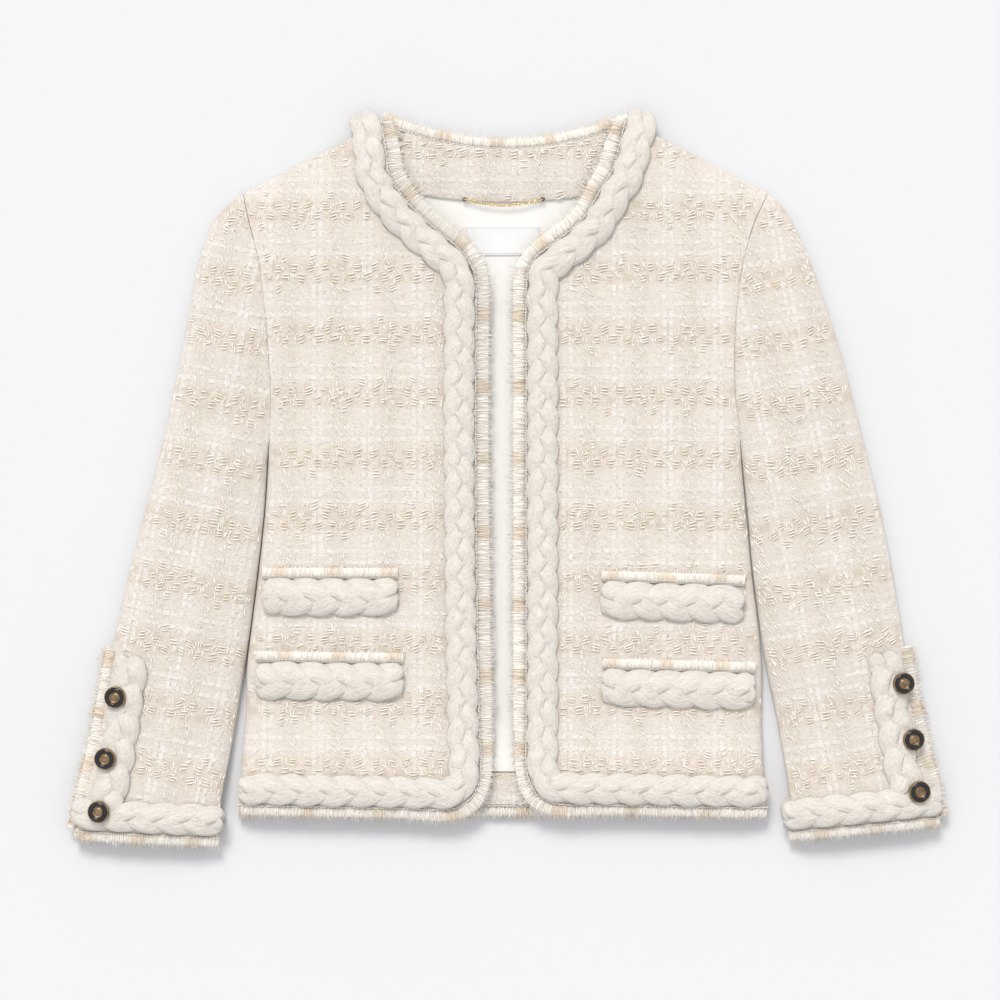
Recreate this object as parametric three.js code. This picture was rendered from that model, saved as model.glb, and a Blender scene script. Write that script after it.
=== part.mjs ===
// Cropped tweed jacket, laid flat on its back with the fronts uppermost.
// Millimetres. +X is the wearer's left, +Y runs up to the neck, +Z rises off the surface.
// Each panel is a wall between an upper and a lower grid of points. What is sewn on a panel
// is made from that panel's own points, moved out by a small clearance.
import * as THREE from 'three';

// ---- Driving dimensions ----
const TWEED = 2; // thickness of the shell cloth
const LINING = 1; // thickness of the lining and the label
const FACING = 1.5; // thickness of the tweed facings
const SEAM_GAP = 0.35; // between two edges sewn together
const REST_GAP = 0.3; // between a piece and what it lies on
const SIDE_GAP = 0.6; // between the sleeve's inner edge and the side of the body
const BRAID_WIDTH = 23.6; // plaited braid on the neck, fronts, hems and cuffs
const POCKET_BRAID_WIDTH = 29; // the wider plait on the pockets
const BRAID_THICK = 5;
const BRAID_CLEAR = 0.45; // braid over a curved panel
const FRINGE_THICK = 2;
const HEM_FRINGE_REACH = 10;
const NECK_FRINGE_REACH = 9; // of the back's neck and hem
const POCKET_FRINGE_REACH = 9.5;
const BRAID_LIFT = BRAID_THICK + REST_GAP; // cloth rides this high over the braid beneath it
const NECK_POINT = 95; // half the width of the back neck, to where the shoulder seam starts
const EDGE_ROLL = 22; // the fronts roll down to the side seam over this width
const SLEEVE_ROLL_SHARE = 0.12; // share of the sleeve's width that turns up to the seam
const THICKEST_WALL = 1.9; // most that a steep stretch is thickened along Z
const BUTTON_TILT = 10; // degrees, facing away from the body

const COLOURS = {
  tweed: 0xebe2d6,
  lining: 0xf6f4ef,
  braid: 0xeae4db,
  fringe: 0xe6ddd0,
  brass: 0x9a7440,
  black: 0x17181c,
  gold: 0xc9a45a,
};

// A row for each level of the body, from the shoulder seam down to the hem.
// share: how far down the armhole; right and left: the armhole or side seam;
// backY and bow: the back's middle, and how much the row rises towards the neck points;
// neckLift and hemLift: how far the cloth rides up over the braid beneath; loft: front over back.
const COMMON = { share: 1, bow: 0, neckLift: 0, hemLift: 0, loft: 9 }; // where a row gives no other
const BODY_ROWS = [
  { share: 0, rightX: -199.5, rightY: 219.6, leftX: 199.5, leftY: 219.6, backY: 252, bow: 20, neckLift: 1 },
  { share: 0.04, rightX: -198.3, rightY: 211.5, leftX: 196, leftY: 211.4, backY: 239, bow: 18, neckLift: 1 },
  { share: 0.12, rightX: -194.4, rightY: 195.4, leftX: 187.4, leftY: 194.9, backY: 226, bow: 15, neckLift: 1 },
  { share: 0.28, rightX: -185.6, rightY: 163, leftX: 178.6, leftY: 162, backY: 212, bow: 12, neckLift: 0.55 },
  { share: 0.5, rightX: -181.3, rightY: 118.6, leftX: 173.8, leftY: 116.8, backY: 185, bow: 8 },
  { share: 0.72, rightX: -177.9, rightY: 74.2, leftX: 173.5, leftY: 71.6, backY: 140, bow: 4 },
  { share: 0.88, rightX: -178.3, rightY: 41.8, leftX: 177.5, leftY: 38.7, backY: 95, bow: 2 },
  { share: 0.96, rightX: -179.8, rightY: 25.7, leftX: 178.9, leftY: 22.2, backY: 55 },
  { rightX: -180.5, rightY: 17.6, leftX: 179.6, leftY: 14, backY: 16 },
  { rightX: -183.5, rightY: -29, leftX: 184.3, leftY: -29, backY: -29 },
  { rightX: -188, rightY: -68, leftX: 187.2, leftY: -68, backY: -68 },
  { rightX: -193.4, rightY: -111, leftX: 193.2, leftY: -111, backY: -111 },
  { rightX: -198, rightY: -144, leftX: 196, leftY: -144, backY: -144 },
  { rightX: -197, rightY: -168, leftX: 195, leftY: -168, backY: -168 },
  { rightX: -199.5, rightY: -192, leftX: 195.3, leftY: -192, backY: -192 },
  { rightX: -201, rightY: -221, leftX: 195.7, leftY: -221, backY: -221, hemLift: 1, loft: 7.5 },
  { rightX: -203, rightY: -245, leftX: 199, leftY: -247, backY: -246, hemLift: 1, loft: 7 },
].map((row) => ({ ...COMMON, ...row }));

// The neck and front edges, from the neck point down to the rounded corner of the hem.
// at: place among the body's rows; right and left: where the edge lies; reach: of the fringe.
const FRONT_EDGE = [
  { at: 0, rightX: -95, rightY: 272, leftX: 92, leftY: 274, reach: 8 },
  { at: 1, rightX: -92, rightY: 252, leftX: 87, leftY: 254, reach: 12 },
  { at: 2, rightX: -89, rightY: 232, leftX: 82, leftY: 236, reach: 13 },
  { at: 3, rightX: -77, rightY: 213, leftX: 72, leftY: 219.5, reach: 13 },
  { at: 3.5, rightX: -66, rightY: 201.5, leftX: 62, leftY: 202, reach: 13 },
  { at: 4, rightX: -54.5, rightY: 191, leftX: 50, leftY: 190, reach: 13 },
  { at: 4.5, rightX: -38, rightY: 177.5, leftX: 35, leftY: 178.5, reach: 13 },
  { at: 4.75, rightX: -28, rightY: 165, leftX: 22, leftY: 167, reach: 13 },
  { at: 5, rightX: -23.5, rightY: 149, leftX: 16.8, leftY: 150, reach: 13 },
  { at: 5.5, rightX: -23.5, rightY: 115, leftX: 16.5, leftY: 115, reach: 13 },
  { at: 6, rightX: -23.5, rightY: 85, leftX: 16.5, leftY: 85, reach: 13 },
  { at: 7, rightX: -23.5, rightY: 48, leftX: 16.5, leftY: 48, reach: 13 },
  { at: 8, rightX: -23.5, rightY: 17.6, leftX: 16.5, leftY: 15, reach: 13 },
  { at: 9, rightX: -23.2, rightY: -29, leftX: 16.5, leftY: -29, reach: 13 },
  { at: 10, rightX: -22.8, rightY: -68, leftX: 16.5, leftY: -68, reach: 13 },
  { at: 11, rightX: -22.2, rightY: -111, leftX: 16.5, leftY: -111, reach: 13 },
  { at: 12, rightX: -21.5, rightY: -144, leftX: 16.5, leftY: -144, reach: 13 },
  { at: 13, rightX: -21, rightY: -168, leftX: 16.5, leftY: -168, reach: 13 },
  { at: 14, rightX: -20.3, rightY: -192, leftX: 16.5, leftY: -192, reach: 12 },
  { at: 15, rightX: -19.5, rightY: -221, leftX: 16.5, leftY: -219, reach: 11 },
  { at: 15.5, rightX: -23.4, rightY: -236, leftX: 20.5, leftY: -232, reach: 13 },
  { at: 15.83, rightX: -30.2, rightY: -243.5, leftX: 27.5, leftY: -239.5, reach: 15 },
  { at: 16, rightX: -44, rightY: -249, leftX: 42, leftY: -244.5, reach: 12 },
];

// A row for each section across a sleeve, from the cap down to the cuff.
// outer: the edge away from the body; innerY and away: the edge beside the body's side seam;
// cap: how much of the armhole's curve is left; arch: top over under; rim: the seam's height;
// lift: how far the sleeve rides up over the braid beneath it.
const SLEEVE_ROWS = {
  right: [
    { outerX: -219.3, outerY: 204.4, innerY: 13.5, away: SIDE_GAP, cap: 0.86, arch: 9.4, rim: 0.5, lift: 0 },
    { outerX: -229.9, outerY: 183.2, innerY: 10, away: SIDE_GAP, cap: 0.7, arch: 9.8, rim: 1, lift: 0 },
    { outerX: -236.7, outerY: 152.8, innerY: 6.5, away: SIDE_GAP, cap: 0.5, arch: 10, rim: 2, lift: 0 },
    { outerX: -244.3, outerY: 107.2, innerY: 3, away: SIDE_GAP, cap: 0.28, arch: 10, rim: 3, lift: 0 },
    { outerX: -251.6, outerY: 74.5, innerY: -1, away: SIDE_GAP, cap: 0.12, arch: 10, rim: 3, lift: 0 },
    { outerX: -258.8, outerY: 36.5, innerY: -6, away: SIDE_GAP, cap: 0, arch: 10, rim: 3, lift: 0 },
    { outerX: -270.2, outerY: -6.8, innerY: -29, away: SIDE_GAP, cap: 0, arch: 10, rim: 3, lift: 0 },
    { outerX: -281.6, outerY: -50.9, innerY: -68, away: SIDE_GAP, cap: 0, arch: 10, rim: 3, lift: 0 },
    { outerX: -292.6, outerY: -95, innerY: -111, away: SIDE_GAP, cap: 0, arch: 10, rim: 3, lift: 0 },
    { outerX: -299, outerY: -128, innerY: -144, away: 1.2, cap: 0, arch: 9.5, rim: 3, lift: 0 },
    { outerX: -304.5, outerY: -158, innerY: -170, away: 6, cap: 0, arch: 9, rim: 3, lift: 0 },
    { outerX: -311, outerY: -193, innerY: -202, away: 8.5, cap: 0, arch: 8, rim: 3, lift: 0 },
    { outerX: -315.5, outerY: -213, innerY: -219, away: 11, cap: 0, arch: 7, rim: 2.5, lift: 0.4 },
    { outerX: -322, outerY: -240, innerY: -246, away: 14.5, cap: 0, arch: 5.5, rim: 2, lift: 1 },
    { outerX: -326.4, outerY: -264.5, innerY: -269.8, away: 15.5, cap: 0, arch: 5, rim: 2, lift: 1 },
  ],
  left: [
    { outerX: 212, outerY: 209, innerY: 10.5, away: SIDE_GAP, cap: 0.86, arch: 9.4, rim: 0.5, lift: 0 },
    { outerX: 223.8, outerY: 188.5, innerY: 7.5, away: SIDE_GAP, cap: 0.7, arch: 9.8, rim: 1, lift: 0 },
    { outerX: 236.7, outerY: 156.6, innerY: 4, away: SIDE_GAP, cap: 0.5, arch: 10, rim: 2, lift: 0 },
    { outerX: 252.7, outerY: 107.2, innerY: 0.5, away: SIDE_GAP, cap: 0.28, arch: 10, rim: 3, lift: 0 },
    { outerX: 260.3, outerY: 79.8, innerY: -4, away: SIDE_GAP, cap: 0.12, arch: 10, rim: 3, lift: 0 },
    { outerX: 271.7, outerY: 33.4, innerY: -9, away: SIDE_GAP, cap: 0, arch: 10, rim: 3, lift: 0 },
    { outerX: 282.3, outerY: -6.8, innerY: -29, away: SIDE_GAP, cap: 0, arch: 10, rim: 3, lift: 0 },
    { outerX: 291.5, outerY: -50.9, innerY: -68, away: SIDE_GAP, cap: 0, arch: 10, rim: 3, lift: 0 },
    { outerX: 299.1, outerY: -95, innerY: -111, away: SIDE_GAP, cap: 0, arch: 10, rim: 3, lift: 0 },
    { outerX: 303.6, outerY: -126, innerY: -144, away: 2.5, cap: 0, arch: 9.5, rim: 3, lift: 0 },
    { outerX: 307.8, outerY: -155, innerY: -168, away: 9.5, cap: 0, arch: 9, rim: 3, lift: 0 },
    { outerX: 315, outerY: -189, innerY: -198, away: 14.5, cap: 0, arch: 8, rim: 3, lift: 0 },
    { outerX: 319, outerY: -209, innerY: -216, away: 17.5, cap: 0, arch: 7, rim: 2.5, lift: 0.4 },
    { outerX: 325, outerY: -231, innerY: -241.5, away: 18.5, cap: 0, arch: 5.5, rim: 2, lift: 1 },
    { outerX: 329, outerY: -254, innerY: -265.2, away: 18.7, cap: 0, arch: 5, rim: 2, lift: 1 },
  ],
};

// Columns across a panel, as shares of its width. They crowd together where it rolls over.
const SLEEVE_COLUMNS = [0, 0.04, 0.12, 0.28, 0.5, 0.72, 0.88, 0.96, 1];
const FRONT_COLUMNS = [0, 0.02, 0.06, 0.14, 0.3, 0.5, 0.7, 0.86, 1];
const SHOULDER_COLUMNS = [0, 0.5, 0.7, 0.86, 1]; // the back, from the armhole to the neck point
const SHOULDER_LIFT = [0, 0, 0.5, 1, 1]; // how much of neckLift each of those columns takes
const NECK_COLUMNS = [-0.7, -0.35, 0, 0.35, 0.7]; // shares of the neck's half width
const VENT_BRAID_SHARES = [0.04, 0.12, 0.28]; // the vent braid's rails, as shares of the sleeve's width
const VENT_DRIFT = 0.055; // further from the sleeve's edge at the cuff than at the top
const VENT_ROWS = { top: 10, bottom: 14 }; // from this sleeve row down to the cuff braid
const VENT_END_SHARE = 0.06; // of the last row's depth, kept clear of the cuff fringe

// The lining and the neck facing follow the back's rows, out to these half widths.
const LINING_HALF_WIDTHS = [80, 86, 104, 148]; // from the second row down, then to the side seam
const LINING_SIDE_INSET = 7;
const LINING_ROWS = { first: 1, last: 15 };
const FACING_HALF_WIDTHS = [76, 80, 84, 86];
const LINING_COLUMNS = [0, 0.08, 0.22, 0.36, 0.5, 0.64, 0.78, 0.92, 1];

// Pocket bands: the inner and outer end of the upper edge of each braid.
const POCKETS = [
  { name: 'upper_right', side: 'right', innerX: -82.5, innerY: -73.5, outerX: -184, outerY: -73.5 },
  { name: 'lower_right', side: 'right', innerX: -78, innerY: -138, outerX: -189, outerY: -136.5 },
  { name: 'upper_left', side: 'left', innerX: 73.5, innerY: -75.5, outerX: 181, outerY: -79 },
  { name: 'lower_left', side: 'left', innerX: 74, innerY: -142, outerX: 189.5, outerY: -145 },
];

// Cuff buttons, top to bottom on each sleeve. seat names the braid that each is sewn to.
const BUTTONS = [
  { name: 'right_1', side: 'right', seat: 'vent', x: -294.9, y: -163.7 },
  { name: 'right_2', side: 'right', seat: 'vent', x: -302.4, y: -210.2 },
  { name: 'right_3', side: 'right', seat: 'cuff', x: -307.1, y: -250 },
  { name: 'left_1', side: 'left', seat: 'vent', x: 300.9, y: -153.2 },
  { name: 'left_2', side: 'left', seat: 'vent', x: 308.5, y: -195.8 },
  { name: 'left_3', side: 'left', seat: 'cuff', x: 312.6, y: -235 },
];
const BUTTON_RADIUS = 8.4;
const BUTTON_SIDES = 14;
// Radius and height down the button's section, from the middle of its back to its dished face.
const BUTTON_PROFILE = [
  [0, 0], [7.2, 0], [8.4, 1.4], [8.4, 3.2], [7.3, 4.2],
  [7.1, 3.1], [4.7, 3.1], [4.5, 4.3], [3.5, 3.9], [0, 3.3],
];
const RING_PROFILE = [[5, 3.4], [6.8, 3.4], [6.7, 4.1], [5.9, 4.3], [5.1, 4.1], [5, 3.4]];

const LABEL = { leftX: -30, rightX: 26, topY: 194.5, bottomY: 172 };
const CHAIN = { endX: 27.5, middleX: -1.5, endY: 214.3, sag: 5, radius: 1.1, steps: 12, sides: 6 };

// ---- Small helpers ----
const lerp = THREE.MathUtils.lerp;

function point(x, y, z = 0) {
  return new THREE.Vector3(x, y, z);
}

function between(a, b, share) {
  return a.clone().lerp(b, share);
}

// A flat-topped arch over shares 0 to 1, for anything that crowns between two seams.
function arch(share) {
  return Math.sqrt(Math.max(0, 1 - Math.abs(2 * share - 1) ** 3));
}

// The side seam's row values at a place between two rows.
function bodyRow(at) {
  const index = Math.min(Math.floor(at), BODY_ROWS.length - 2);
  const share = at - index;
  const row = {};
  for (const key of Object.keys(BODY_ROWS[0])) {
    row[key] = lerp(BODY_ROWS[index][key], BODY_ROWS[index + 1][key], share);
  }
  return row;
}

function seamPoint(side, at) {
  const row = bodyRow(at);
  return point(row[`${side}X`], row[`${side}Y`]);
}

// How far out the body's side seam lies at a height.
function sideSeamX(side, y) {
  const yKey = `${side}Y`;
  const xKey = `${side}X`;
  for (let i = 0; i < BODY_ROWS.length - 1; i += 1) {
    const above = BODY_ROWS[i];
    const below = BODY_ROWS[i + 1];
    if (y <= above[yKey] && y >= below[yKey]) {
      return lerp(above[xKey], below[xKey], (above[yKey] - y) / (above[yKey] - below[yKey]));
    }
  }
  return BODY_ROWS[BODY_ROWS.length - 1][xKey];
}

// ---- Solids ----
// A closed solid from rings of points, each ring running round the section the same way.
function solidFromRings(rings) {
  const sides = rings[0].length;
  const positions = rings.flat().flatMap((p) => [p.x, p.y, p.z]);
  const faces = [];
  for (let i = 0; i < rings.length - 1; i += 1) {
    for (let j = 0; j < sides; j += 1) {
      const a = i * sides + j;
      const b = i * sides + ((j + 1) % sides);
      faces.push(a, b, b + sides, a, b + sides, a + sides);
    }
  }
  return { positions, faces };
}

function toGeometry({ positions, faces }) {
  const geometry = new THREE.BufferGeometry();
  geometry.setAttribute('position', new THREE.Float32BufferAttribute(positions, 3));
  geometry.setIndex(signedVolume(positions, faces) < 0 ? faces.toReversed() : faces);
  return geometry;
}

function signedVolume(positions, faces) {
  const corner = (i) => new THREE.Vector3().fromArray(positions, i * 3);
  let volume = 0;
  for (let i = 0; i < faces.length; i += 3) {
    volume += corner(faces[i]).dot(corner(faces[i + 1]).cross(corner(faces[i + 2])));
  }
  return volume;
}

// A panel: a lower grid of points, and an upper grid one wall above it. A steep stretch is
// thickened along Z, up to steepest times, so that the wall keeps its thickness across the slope.
function panel(lower, wall, steepest = THICKEST_WALL) {
  const upper = lower.map((row) => row.map((p, j) => {
    const before = row[Math.max(j - 1, 0)];
    const after = row[Math.min(j + 1, row.length - 1)];
    const run = Math.hypot(after.x - before.x, after.y - before.y);
    const slope = (after.z - before.z) / run;
    const thickness = wall * Math.min(Math.hypot(1, slope), steepest);
    return point(p.x, p.y, p.z + thickness);
  }));
  const rings = lower.map((row, i) => [...row, ...upper[i].toReversed()]);
  const { positions, faces } = solidFromRings(rings);
  const columns = lower[0].length;
  closeGridEnd(faces, 0, columns, false);
  closeGridEnd(faces, (rings.length - 1) * columns * 2, columns, true);
  return { lower, upper, geometry: toGeometry({ positions, faces }) };
}

// Closes a panel's first or last row with a strip between its lower and upper points.
function closeGridEnd(faces, start, columns, last) {
  for (let j = 0; j < columns - 1; j += 1) {
    const a = start + j;
    const b = start + j + 1;
    const c = start + 2 * columns - 2 - j;
    const d = start + 2 * columns - 1 - j;
    if (last) {
      faces.push(a, b, c, a, c, d);
    } else {
      faces.push(a, c, b, a, d, c);
    }
  }
}

// The height of a grid's faces at a place, or of its nearest point where the place is off it.
function heightOn(grid, x, y) {
  for (let i = 0; i < grid.length - 1; i += 1) {
    for (let j = 0; j < grid[i].length - 1; j += 1) {
      const corners = [grid[i][j], grid[i][j + 1], grid[i + 1][j + 1], grid[i + 1][j]];
      const height = heightInTriangle(corners[0], corners[1], corners[2], x, y)
        ?? heightInTriangle(corners[0], corners[2], corners[3], x, y);
      if (height !== null) {
        return height;
      }
    }
  }
  const distance = (p) => Math.hypot(p.x - x, p.y - y);
  return grid.flat().reduce((best, p) => (distance(p) < distance(best) ? p : best)).z;
}

function heightInTriangle(a, b, c, x, y) {
  const area = (b.x - a.x) * (c.y - a.y) - (c.x - a.x) * (b.y - a.y);
  if (Math.abs(area) < 1e-9) {
    return null;
  }
  const shareB = ((x - a.x) * (c.y - a.y) - (c.x - a.x) * (y - a.y)) / area;
  const shareC = ((b.x - a.x) * (y - a.y) - (x - a.x) * (b.y - a.y)) / area;
  if (shareB < -1e-6 || shareC < -1e-6 || shareB + shareC > 1 + 1e-6) {
    return null;
  }
  return a.z + shareB * (b.z - a.z) + shareC * (c.z - a.z);
}

// A band laid over rails, which run side by side along a surface. Its upper side crowns:
// the outermost rails rise to edgeShare of its thickness, and the rest to all of it.
function bandOver(rails, thickness, clearance, edgeShare = 0.55) {
  const last = rails.length - 1;
  const lower = rails[0].map((_, i) => {
    return rails.map((rail) => point(rail[i].x, rail[i].y, rail[i].z + clearance));
  });
  const upper = lower.map((row) => row.map((p, k) => {
    const rise = k === 0 || k === last ? edgeShare : 1;
    return point(p.x, p.y, p.z + thickness * rise);
  }));
  const rings = lower.map((row, i) => [...row, ...upper[i].toReversed()]);
  const { positions, faces } = solidFromRings(rings);
  closeGridEnd(faces, 0, rails.length, false);
  closeGridEnd(faces, (rings.length - 1) * rails.length * 2, rails.length, true);
  return { lower, upper, geometry: toGeometry({ positions, faces }) };
}

// Points evenly spaced along a smooth line through the given ones.
function smoothPath(points, steps) {
  return new THREE.CatmullRomCurve3(points, false, 'centripetal').getSpacedPoints(steps);
}

// A rail beside a path: each point moved sideways, to the left of the way the path runs.
function railBeside(path, distanceAt, heightAt) {
  return path.map((p, i) => {
    const before = path[Math.max(i - 1, 0)];
    const after = path[Math.min(i + 1, path.length - 1)];
    const along = after.clone().sub(before).setZ(0).normalize();
    const distance = distanceAt(i / (path.length - 1));
    const x = p.x - along.y * distance;
    const y = p.y + along.x * distance;
    return point(x, y, heightAt(x, y, p));
  });
}

// ---- The jacket's pieces ----
const jacket = new THREE.Group();

function sew(name, geometry, colour, roughness = 0.9, metalness = 0) {
  const material = new THREE.MeshStandardMaterial({ color: colour, roughness, metalness });
  const mesh = new THREE.Mesh(geometry, material);
  mesh.name = name;
  jacket.add(mesh);
  return mesh;
}

// A point on one of the back's rows: bowed between the neck points, straight out to the seam.
function backRowPoint(row, x) {
  const seam = x < 0 ? point(row.rightX, row.rightY) : point(row.leftX, row.leftY);
  const neckX = Math.sign(x) * NECK_POINT;
  if (Math.abs(x) <= NECK_POINT) {
    return point(x, row.backY + row.bow * (x / NECK_POINT) ** 2);
  }
  const neckPoint = point(neckX, row.backY + row.bow);
  return between(neckPoint, seam, (x - neckX) / (seam.x - neckX));
}

function makeBack() {
  const lower = BODY_ROWS.map((row) => {
    const lift = (share) => BRAID_LIFT * Math.max(row.neckLift * share, row.hemLift);
    const shoulder = (seamX, neckX) => SHOULDER_COLUMNS.map((share, column) => {
      const p = backRowPoint(row, lerp(seamX, neckX, share));
      return p.setZ(lift(SHOULDER_LIFT[column]));
    });
    const neck = NECK_COLUMNS.map((share) => backRowPoint(row, share * NECK_POINT).setZ(lift(1)));
    const right = shoulder(row.rightX, -NECK_POINT);
    const left = shoulder(row.leftX, NECK_POINT).toReversed();
    return [...right, ...neck, ...left];
  });
  return panel(lower, TWEED);
}

// A front: each row runs from the armhole or side seam to the front edge. It rolls up from
// the side seam, and comes down to the back again at the shoulder.
function makeFront(side, back) {
  const lower = FRONT_EDGE.map((edge) => {
    const row = bodyRow(edge.at);
    const seam = seamPoint(side, edge.at);
    const front = point(edge[`${side}X`], edge[`${side}Y`]);
    const width = seam.distanceTo(front);
    const seamCrown = arch(row.share);
    const crown = row.share < 0.5 ? seamCrown : 1;
    return FRONT_COLUMNS.map((share) => {
      const p = between(seam, front, share);
      const roll = Math.max(0, 1 - (share * width) / EDGE_ROLL);
      const rise = lerp(seamCrown, crown, Math.sqrt(1 - roll ** 2));
      return p.setZ(heightOn(back.upper, p.x, p.y) + REST_GAP + row.loft * rise);
    });
  });
  return panel(lower, TWEED);
}

// The plan of a sleeve: the armhole first, then sections that turn to lie across the sleeve.
function sleevePlan(side) {
  const tip = seamPoint(side, 0);
  const underarm = seamPoint(side, SLEEVE_COLUMNS.length - 1);
  const out = Math.sign(tip.x);
  const armhole = SLEEVE_COLUMNS.map((_, column) => seamPoint(side, column));
  const bulge = armhole.map((p, k) => p.clone().sub(between(tip, underarm, SLEEVE_COLUMNS[k])));
  const sections = SLEEVE_ROWS[side].map((row) => {
    const outer = point(row.outerX, row.outerY);
    const inner = point(sideSeamX(side, row.innerY) + out * row.away, row.innerY);
    return SLEEVE_COLUMNS.map((share, k) => between(outer, inner, share).addScaledVector(bulge[k], row.cap));
  });
  return [armhole.map((p) => p.clone().setX(p.x + out * SEAM_GAP)), ...sections];
}

function makeSleeve(side) {
  const plan = sleevePlan(side);
  const head = { arch: BODY_ROWS[0].loft, rim: 0, lift: 0 };
  const rows = [head, ...SLEEVE_ROWS[side]];
  const under = plan.map((section, i) => section.map((p, k) => {
    const share = SLEEVE_COLUMNS[k];
    const turn = Math.max(0, 1 - Math.min(share, 1 - share) / SLEEVE_ROLL_SHARE) ** 2;
    return p.clone().setZ(BRAID_LIFT * rows[i].lift + rows[i].rim * turn);
  }));
  const top = plan.map((section, i) => section.map((p, k) => {
    const seamHeight = BRAID_LIFT * rows[i].lift + rows[i].rim + TWEED + REST_GAP;
    return p.clone().setZ(seamHeight + rows[i].arch * arch(SLEEVE_COLUMNS[k]));
  }));
  return { under: panel(under, TWEED, 1), top: panel(top, TWEED) };
}

const back = makeBack();
sew('back', back.geometry, COLOURS.tweed);

const fronts = { right: makeFront('right', back), left: makeFront('left', back) };
const sleeves = { right: makeSleeve('right'), left: makeSleeve('left') };
for (const side of ['right', 'left']) {
  sew(`front_${side}`, fronts[side].geometry, COLOURS.tweed);
  sew(`top_sleeve_${side}`, sleeves[side].top.geometry, COLOURS.tweed);
  sew(`under_sleeve_${side}`, sleeves[side].under.geometry, COLOURS.tweed);
}

// Lining over the back, and the facings on it at the neck and the hem.
function rowAcross(row, rightX, leftX, height) {
  return LINING_COLUMNS.map((share) => {
    const p = backRowPoint(row, lerp(rightX, leftX, share));
    return p.setZ(heightOn(back.upper, p.x, p.y) + height);
  });
}

function makeLining() {
  const grid = [];
  for (let i = LINING_ROWS.first; i <= LINING_ROWS.last; i += 1) {
    const row = BODY_ROWS[i];
    const half = LINING_HALF_WIDTHS[i - LINING_ROWS.first] ?? Infinity;
    const rightX = Math.max(-half, row.rightX + LINING_SIDE_INSET);
    const leftX = Math.min(half, row.leftX - LINING_SIDE_INSET);
    grid.push(rowAcross(row, rightX, leftX, REST_GAP));
  }
  return panel(grid, LINING);
}

const lining = makeLining();
sew('back_lining', lining.geometry, COLOURS.lining, 0.45);

const facingHeight = REST_GAP + LINING + 2 * REST_GAP;
const neckFacing = panel(
  FACING_HALF_WIDTHS.map((half, i) => rowAcross(BODY_ROWS[i], -half, half, facingHeight)),
  FACING,
);
sew('back_neck_facing', neckFacing.geometry, COLOURS.tweed);

const hemRows = BODY_ROWS.slice(LINING_ROWS.last);
const hemFacing = panel(
  hemRows.map((row, i) => {
    const right = row.rightX + LINING_SIDE_INSET;
    const left = row.leftX - LINING_SIDE_INSET;
    const drop = i === 0 ? SEAM_GAP + REST_GAP : 0;
    return rowAcross(row, right, left, REST_GAP).map((p) => p.setY(p.y - drop));
  }),
  FACING,
);
sew('back_hem_facing', hemFacing.geometry, COLOURS.tweed);

// The bare neck label, on the lining just below the facing.
function makeLabel() {
  const rows = [0, 0.5, 1].map((down) => [0, 0.5, 1].map((across) => {
    const x = lerp(LABEL.leftX, LABEL.rightX, across);
    const y = lerp(LABEL.topY, LABEL.bottomY, down);
    return point(x, y, heightOn(lining.upper, x, y) + REST_GAP);
  }));
  return panel(rows, LINING);
}
sew('label', makeLabel().geometry, COLOURS.lining, 0.6);

// The hanger chain, a fine cord slung between two points at the facing's lower edge.
function makeChain() {
  const height = heightOn(neckFacing.upper, 0, CHAIN.endY) + REST_GAP + CHAIN.radius;
  const route = new THREE.CatmullRomCurve3([-1, -0.5, 0, 0.5, 1].map((share) => {
    return point(CHAIN.middleX + share * CHAIN.endX, CHAIN.endY - CHAIN.sag * (1 - share ** 2), height);
  }));
  const section = new THREE.Shape();
  for (let i = 0; i < CHAIN.sides; i += 1) {
    const angle = (i / CHAIN.sides) * 2 * Math.PI;
    const place = [CHAIN.radius * Math.cos(angle), CHAIN.radius * Math.sin(angle)];
    if (i === 0) {
      section.moveTo(...place);
    } else {
      section.lineTo(...place);
    }
  }
  return new THREE.ExtrudeGeometry(section, { steps: CHAIN.steps, extrudePath: route });
}
sew('hanger_chain', makeChain(), COLOURS.gold, 0.3, 1);

// ---- Braid and fringe round the neck, fronts and hem ----
const BRAID_RAILS = [0, 1 / 3, 2 / 3, 1]; // shares of the braid's width
const SHOULDER_WRAP = [{ rise: 10, drop: 5.5 }, { rise: 4.5, drop: 2 }]; // past the neck point
const WRAP_LEAN = 0.15; // how far that leans outwards for each millimetre of rise
const CORNER_START = 15; // the edge starts to round below this body row

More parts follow.
